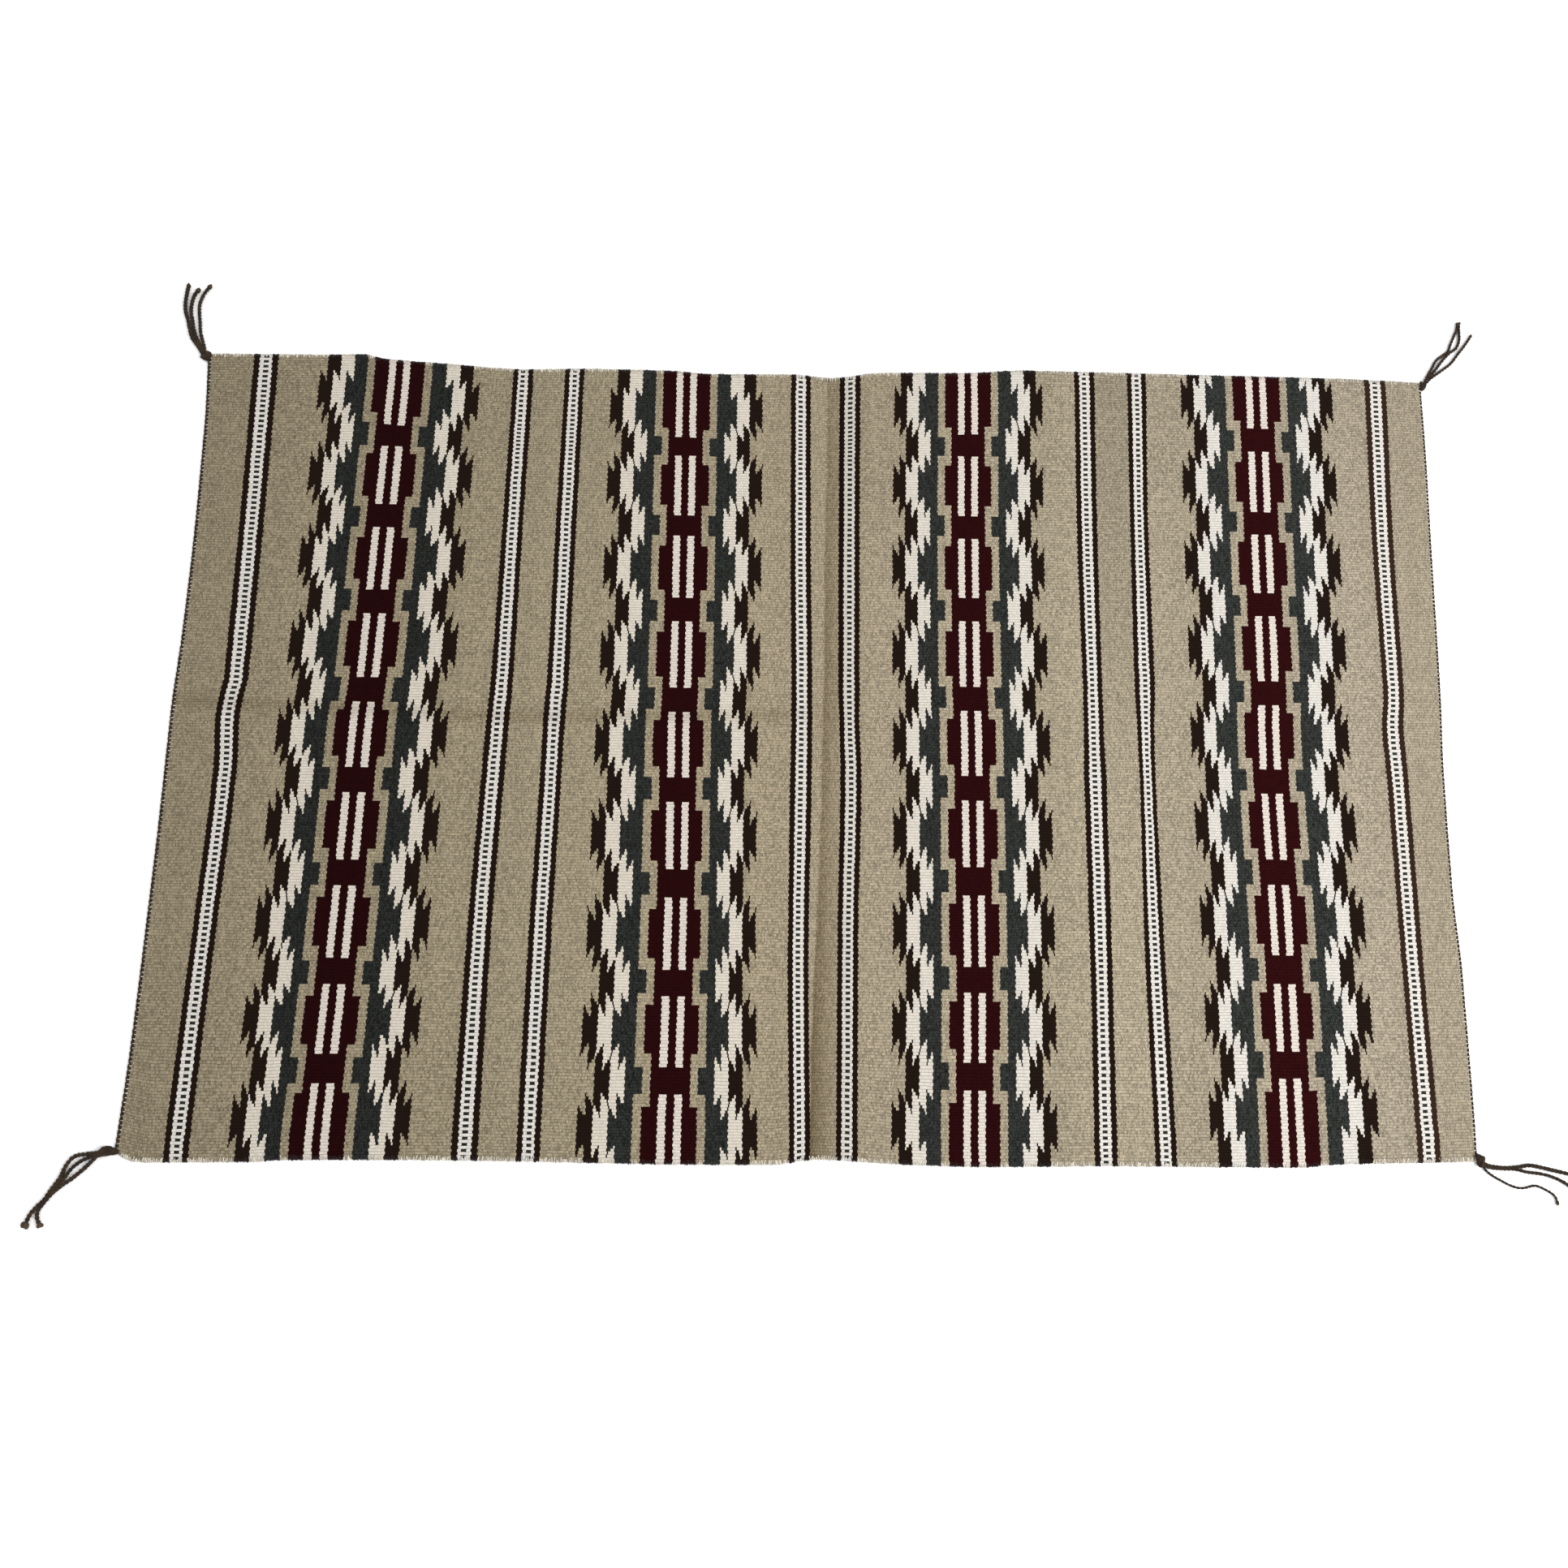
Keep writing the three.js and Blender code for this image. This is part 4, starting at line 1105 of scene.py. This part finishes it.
def smoothRoute(points, step=1.5):
    # a centripetal curve through the points, as close points
    points = np.array(points, float)
    padded = np.concatenate([[2 * points[0] - points[1]], points, [2 * points[-1] - points[-2]]])
    route = []
    for k in range(len(points) - 1):
        p0, p1, p2, p3 = padded[k:k + 4]
        gaps = [max(np.linalg.norm(b - a) ** 0.5, 1e-4) for a, b in ((p0, p1), (p1, p2), (p2, p3))]
        startPull = gaps[1] * ((p1 - p0) / gaps[0] - (p2 - p0) / (gaps[0] + gaps[1]) + (p2 - p1) / gaps[1])
        endPull = gaps[1] * ((p2 - p1) / gaps[1] - (p3 - p1) / (gaps[1] + gaps[2]) + (p3 - p2) / gaps[2])
        count = max(2, int(np.linalg.norm(p2 - p1) / step))
        for t in np.arange(count) / count:
            route.append(hermite(t, p1, startPull, p2, endPull))
    route.append(points[-1])
    return np.array(route)


# the yarn of the cords, tassels and edges

def objectPlace(tree):
    return vectorCalc(tree, "SCALE", put(tree, "ShaderNodeTexCoord").outputs["Object"], 1000.0)


def makeTwineWool():
    material, tree, _ = newMaterial("brown twine")
    where = objectPlace(tree)
    patch = noiseAt(tree, where, 0.12, 2.0)["Fac"]
    color = blendColor(tree, ramp(tree, patch, 0.35, 0.7), dye(46, 35, 24), dye(67, 51, 35))
    frayed = calc(tree, "MULTIPLY", attribute(tree, "frayed")["Fac"], 0.5)
    color = blendColor(tree, frayed, color, dye(112, 90, 66))
    wool = useGroup(tree, spunWool, {"Color": color, "Place": where, "Fleck": 0.35, "Streak": 0.1})
    return finishWool(material, wool["Color"], wool, wool["Fibre"])


def makeSelvedgeWool():
    material, tree, _ = newMaterial("selvedge weft")
    where, chance = attribute(tree, "loomPlace")["Vector"], attribute(tree, "chance")["Fac"]
    yarn = useGroup(tree, loomChart, {"Cell": where, "Odd Warp": 1.0})["Yarn"]
    dyed = useGroup(tree, yarnDyes, {"Yarn": yarn, "Place": where})
    pale = calc(tree, "MULTIPLY", dyed["Ground"], ramp(tree, chance, 0.0, 0.7, 0.45, 1.0))
    color = blendColor(tree, pale, dyed["Color"], dye(232, 224, 208))
    wool = useGroup(tree, spunWool, {
        "Color": color, "Place": objectPlace(tree), "Chance": chance, "Fleck": 0.25})
    return finishWool(material, wool["Color"], wool, wool["Fibre"])


def makeWarpWool():
    material, tree, _ = newMaterial("pale warp")
    chance = attribute(tree, "chance")["Fac"]
    color = blendColor(tree, chance, dye(196, 186, 168), dye(232, 226, 214))
    wool = useGroup(tree, spunWool, {
        "Color": color, "Place": objectPlace(tree), "Chance": chance, "Fleck": 0.15})
    return finishWool(material, wool["Color"], wool, wool["Fibre"])


twineWool = makeTwineWool()
selvedgeWool = makeSelvedgeWool()
warpWool = makeWarpWool()


# the loops along the four sides

edging = {
    "level": 1.95,  # of the loops' middle, above the floor
    "fromCorner": {"weft": 4, "warp": 6},
    "weftStep": 2.0,
    "warpPoints": 400,
    "chartInset": 0.993,  # the weft's loops take their yarn's colour from this share of the half depth
    "weft": {"Spacing": 1.5, "Reach": 1.6, "Inset": 3.2, "Height": 3.6, "Yarn Radius": 0.6},
    "warp": {"Spacing": 4.9, "Reach": 2.0, "Inset": 1.4, "Height": 3.0, "Yarn Radius": 0.62},
}


def edgeLine(name, side):
    # one side of the cloth, walked with the outside on the right, carrying its loom places
    if side in ("near", "far"):
        v = cloth["halfDepth"] * (-1 if side == "near" else 1)
        end = cloth["halfWidth"] - edging["fromCorner"]["weft"]
        u = np.arange(-end, end + 1, edging["weftStep"]) * (1 if side == "near" else -1)
        x, y = onFloor(u, v)
        loomPlaces = np.stack([u, np.full(len(u), v * edging["chartInset"]), np.zeros(len(u))], 1)
    else:
        table, inward = cloth[side + "Edge"], edging["fromCorner"]["warp"]
        y = np.linspace(table[0][0] + inward, table[-1][0] - inward, edging["warpPoints"])
        y = y[:: 1 if side == "right" else -1]
        x = readTable(table, y)
        loomPlaces = np.stack([x, y, np.zeros(len(y))], 1)
    mesh = bpy.data.meshes.new(name)
    points = [place(a, b, edging["level"]) for a, b in zip(x, y)]
    mesh.from_pydata(points, [(k, k + 1) for k in range(len(points) - 1)], [])
    mesh.attributes.new("loomPlace", "FLOAT_VECTOR", "POINT").data.foreach_set("vector", loomPlaces.ravel())
    return addObject(name, mesh)


def makeLoops(name, sides, values):
    parts = []
    for number, side in enumerate(sides):
        line = edgeLine(name + side, side)
        parts.append(growOnce(line, edgeLoops, dict(values, Seed=3 + 5 * number), name))
    return joinPieces(name, parts)


weftLoops = makeLoops("selvedge_loops", ("near", "far"), {
    **inMetres(edging["weft"]), "Unevenness": 0.5, "Lean": 0.4, "Wool": selvedgeWool})
warpLoops = makeLoops("warp_loops", ("right", "left"), {
    **inMetres(edging["warp"]), "Unevenness": 0.3, "Lean": 0.25, "Wool": warpWool})
print("edge loops made:", len(weftLoops.data.polygons), len(warpLoops.data.polygons), "faces")


# the end cords

endCords = {
    "radius": 1.5,
    "pulse": 0.12,
    "gap": 0.3,
    "floorGap": 0.1,
    "points": 320,
    "lay": 13.1,
    "step": 1.1,
    "plies": {"left": (1.1, 0.85, -0.1), "right": (0.78, 0.56, -0.6)},  # ply radius, offset, shift outward
    "left": (-479.0, 469.5),
    "right": (-465.0, 471.5),
}


def makeEndCord(name, side):
    outward = 1 if side == "right" else -1
    ply, plyOffset, further = endCords["plies"][side]
    radius = endCords["radius"] * (1 + endCords["pulse"])
    y = np.linspace(*endCords[side], endCords["points"])
    x = readTable(cloth[side + "Edge"], y) + outward * (radius + endCords["gap"] + further)
    level = radius + endCords["floorGap"]
    holder = addRoutes(name + "_route", [[(a, b, level, 1.0) for a, b in zip(x, y)]])
    return growOnce(holder, pliedCord, {
        **inMetres({"Ply Radius": ply, "Ply Offset": plyOffset, "Lay": endCords["lay"],
                    "Step": endCords["step"]}),
        "Plies": 2, "Sides": 7, "Unevenness": 0.1, "Seed": 2.0 + outward, "Wool": twineWool}, name)


cordLeft = makeEndCord("twined_cord_left", "left")
cordRight = makeEndCord("twined_cord_right", "right")
print("end cords twined")


# the corner tassels: each a knot and its strands

tassels = {
    "far_left": {
        "knot": {"at": (-748.2, 471.4), "long": 7.8, "wide": 5.8, "high": 8.8, "turn": 32},
        "strands": [
            (3.7, 0.1, [(-752.6, 474), (-758, 482.5), (-768.4, 497), (-772.2, 507.5), (-775.6, 520.1),
                        (-779.9, 532.6), (-781.1, 544.3), (-780.2, 560.3), (-779.2, 569.3)]),
            (3.5, 1.0, [(-751.4, 474), (-756.5, 484), (-763.4, 497.2), (-767.3, 507.6), (-770.6, 521.5),
                        (-773.3, 532.8), (-773, 545.6), (-770.3, 556.3), (-766.2, 562.5)]),
            (3.2, 1.0, [(-750.4, 474), (-752.4, 484), (-755.2, 492.1), (-759, 504.7), (-761, 518.3),
                        (-762.7, 528.9), (-763.6, 541.6), (-761.6, 551.2), (-758.5, 558.8),
                        (-752.7, 568)]),
        ],
    },
    "far_right": {
        "knot": {"at": (760.2, 472.6), "long": 7.0, "wide": 4.9, "high": 8.2, "turn": 92},
        "strands": [
            (2.6, 0.3, [(763.6, 478), (768, 486.5), (776, 499.6), (781, 508.6), (790.8, 516.8),
                        (797.6, 522.4), (801.6, 531.6), (807, 543.5), (811, 552), (813.4, 562)]),
            (2.6, 0.3, [(764.2, 477), (769.5, 485), (778.6, 495.2), (784.8, 503.4), (791.6, 511.8),
                        (799.4, 520), (808.4, 527), (813, 536.7), (814.2, 545), (814.2, 553),
                        (815.4, 563)]),
            (2.6, 0.1, [(764.6, 476), (772, 484), (780.6, 490.6), (789, 496.8), (800.4, 506.4),
                        (809.6, 518.4), (817, 527.6), (824.6, 538.2), (829.6, 545.8)]),
        ],
    },
    "near_right": {
        "knot": {"at": (749.0, -469.2), "long": 8.6, "wide": 5.7, "high": 9.2, "turn": 105},
        "strands": [
            (3.3, 0.9, [(751.6, -471.5), (757, -474.8), (765, -476.4), (776.9, -477.4), (791.5, -476.4),
                        (805.2, -474.4), (817.4, -476.3), (829.4, -479), (847.9, -483.1),
                        (858.5, -486.2)]),
            (2.8, 0.9, [(751.8, -472), (756.8, -476.2), (765, -477.9), (777, -478.6), (789.4, -478.8),
                        (801.1, -481.6), (816.8, -483.4), (828.7, -486.2), (839.6, -490.8), (846.7, -495),
                        (853, -499.6)]),
            (2.0, 0.9, [(751.2, -472), (754.6, -479), (762, -485.6), (772.2, -491.4), (781, -495.9),
                        (790.5, -498.9), (797.2, -498.9), (809.8, -496.3), (819.6, -499.7), (831, -507.4),
                        (833.5, -516.5)]),
        ],
    },
    "near_left": {
        "knot": {"at": (-765.8, -478.9), "long": 15.0, "wide": 6.4, "high": 8.4, "turn": 190.5},
        "strands": [
            (3.4, 1.7, [(-773, -479.6), (-783, -480.9), (-800.1, -484.4), (-808.1, -494.2),
                        (-812.6, -506.4), (-821, -519.4), (-826.6, -529.4), (-833.4, -536.6),
                        (-840.4, -545.4), (-844.6, -557.2)]),
            (3.0, 0.0, [(-773, -479.8), (-783, -484.4), (-793, -489.4), (-801.6, -496.8),
                        (-807.4, -505.2), (-812.6, -512.6), (-817, -517.8), (-821, -524.5)]),
            (3.4, 0.6, [(-773, -480.2), (-779.4, -487.2), (-787, -495.6), (-800.3, -507.6),
                        (-812, -516.2), (-820.2, -523.9), (-827.4, -533.4), (-832.8, -542.2),
                        (-832.3, -549.6), (-828.3, -557.6)]),
        ],
    },
}
twine = {
    "plyShare": 0.41,  # of a strand's width
    "offsetShare": 0.31,
    "floorGap": 0.1,
    "lay": 9.0,
    "step": 0.7,
    "frayed": 5.0,
    "spread": 0.9,  # how far the frayed end opens, and how much its plies swell
    "swell": 1.15,
    "leaves": 0.42,  # the share of the knot's height at which a strand leaves it
    "landing": 5,  # points on which it comes down to the floor
    "knotPly": 1.4,
    "knotOffset": 0.7,
    "knotLay": 7.0,
    "knotStep": 0.6,
    "knotPoints": 90,
    "lobes": 1.6,  # how deep the winding's three lobes are
    "winding": 2.5,
    "core": (0.8, 0.74, 0.36),  # of the knot's length, width and height
    "coreLevel": 0.46,
}
hairs = {"Density": 90000.0, "Length": 0.0032, "Thickness": 0.00006, "Seed": 5}


def fromKnot(knot, forward, side):
    turn = math.radians(knot["turn"])
    return (knot["at"][0] + forward * math.cos(turn) - side * math.sin(turn),
            knot["at"][1] + forward * math.sin(turn) + side * math.cos(turn))


def knotRoute(knot):
    # one overhand knot drawn tight: a three-lobed closed winding, squeezed into the knot's own size
    thick = twine["knotPly"] + twine["knotOffset"]
    long, wide = knot["long"] - thick, knot["wide"] - thick
    middle, rise = knot["high"] / 2, knot["high"] / 2 - thick
    route = []
    for t in np.linspace(0, 2 * math.pi, twine["knotPoints"]):
        forward = long * (math.sin(t) + twine["lobes"] * math.sin(2 * t)) / twine["winding"]
        side = wide * (math.cos(t) - twine["lobes"] * math.cos(2 * t)) / twine["winding"]
        route.append((*fromKnot(knot, forward, side), middle - rise * math.sin(3 * t), 1.0))
    return route


def makeKnotCore(name, knot):
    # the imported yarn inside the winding
    bpy.ops.mesh.primitive_uv_sphere_add(segments=20, ring_count=12)
    core = bpy.context.object
    core.name = name
    long, wide, high = (knot[side] * share for side, share in zip(("long", "wide", "high"), twine["core"]))
    level = knot["high"] * twine["coreLevel"]
    for vertex in core.data.vertices:
        forward, side, up = vertex.co
        vertex.co = place(*fromKnot(knot, forward * long, side * wide), level + up * high)
    core.data.shade_smooth()
    core.data.materials.append(twineWool)
    return core


def makeTassel(corner):
    tassel = tassels[corner]
    name = "tassel_" + corner + "_yarn"
    leaves = tassel["knot"]["high"] * twine["leaves"]
    parts = []
    for number, (wide, flare, points) in enumerate(tassel["strands"]):
        ply, offset = wide * twine["plyShare"], wide * twine["offsetShare"]
        level = ply + offset + twine["floorGap"]
        route = smoothRoute(points)
        landed = np.clip(np.arange(len(route)) / twine["landing"], 0, 1)
        lift = level + (1 - landed) * (leaves - level)
        holder = addRoutes(name + "_route", [[(x, y, z, 1.0) for (x, y), z in zip(route, lift)]])
        parts.append(growOnce(holder, pliedCord, {
            **inMetres({"Ply Radius": ply, "Ply Offset": offset, "Lay": twine["lay"], "Step": twine["step"],
                        "Frayed Length": twine["frayed"]}),
            "Plies": 2, "Sides": 8, "Unevenness": 0.1, "Frayed Spread": twine["spread"] * flare,
            "Frayed Swell": twine["swell"] * flare, "Seed": 11.0 + number, "Wool": twineWool}, name))
    holder = addRoutes(name + "_knot", [knotRoute(tassel["knot"])])
    parts.append(growOnce(holder, pliedCord, {
        **inMetres({"Ply Radius": twine["knotPly"], "Ply Offset": twine["knotOffset"],
                    "Lay": twine["knotLay"], "Step": twine["knotStep"]}),
        "Plies": 2, "Sides": 8, "Unevenness": 0.08, "Seed": 4.0, "Wool": twineWool}, name))
    parts.append(makeKnotCore(name + "_core", tassel["knot"]))
    piece = joinPieces(name, parts)
    hair = grow(piece, strayFibres, {**hairs, "Wool": twineWool}, name + "_hair")
    piece = joinPieces(name, [piece, hair])
    print("tassel", corner, "made:", len(piece.data.polygons), "faces")
    return piece


tasselPieces = {corner: makeTassel(corner) for corner in tassels}


# floor and light

studio = {
    "floorShade": 0.93,
    "floorReach": 12,
    "floorLevel": -0.0002,
    "world": 0.9,
    "keyPower": 215.0,
    "keyPlace": (3.2, -1.3, 3.8),
    "keySize": 2.4,
    "fillPower": 24.0,
    "fillPlace": (-2.0, 2.0, 3.0),
    "fillSize": 3.0,
}


def addLight(name, power, spot, size):
    data = bpy.data.lights.new(name, "AREA")
    data.shape = "DISK"
    data.energy = power
    data.size = size
    lamp = addObject(name, data)
    lamp.location = spot
    lamp.rotation_euler = (-Vector(spot)).to_track_quat("-Z", "Y").to_euler()


def makeStudio():
    reach, level, shade = studio["floorReach"], studio["floorLevel"], studio["floorShade"]
    corners = ((-reach, -reach), (reach, -reach), (reach, reach), (-reach, reach))
    floor = addMesh("floor", [(x, y, level) for x, y in corners], [(0, 1, 2, 3)])
    material, _, shader = newMaterial("pale floor")
    shader.inputs["Base Color"].default_value = (shade, shade, shade, 1)
    shader.inputs["Roughness"].default_value = 0.9
    shader.inputs["Specular IOR Level"].default_value = 0.1
    floor.data.materials.append(material)
    world = bpy.data.worlds.new("soft room")
    world.use_nodes = True
    sky = world.node_tree.nodes["Background"].inputs
    sky["Color"].default_value = (1, 1, 1, 1)
    sky["Strength"].default_value = studio["world"]
    bpy.context.scene.world = world
    addLight("key", studio["keyPower"], studio["keyPlace"], studio["keySize"])
    addLight("fill", studio["fillPower"], studio["fillPlace"], studio["fillSize"])
    bpy.context.scene.view_settings.view_transform = "Standard"


makeStudio()
print("studio lit")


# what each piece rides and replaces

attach(rugWeave, "root")
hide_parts("rug_cloth")
for loops in (weftLoops, warpLoops):
    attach(loops, "root")
for cordPiece, node in ((cordLeft, "end_cord_left"), (cordRight, "end_cord_right")):
    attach(cordPiece, "root")
    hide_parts(node)
for corner, piece in tasselPieces.items():
    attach(piece, "root")
    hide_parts("tassel_" + corner)
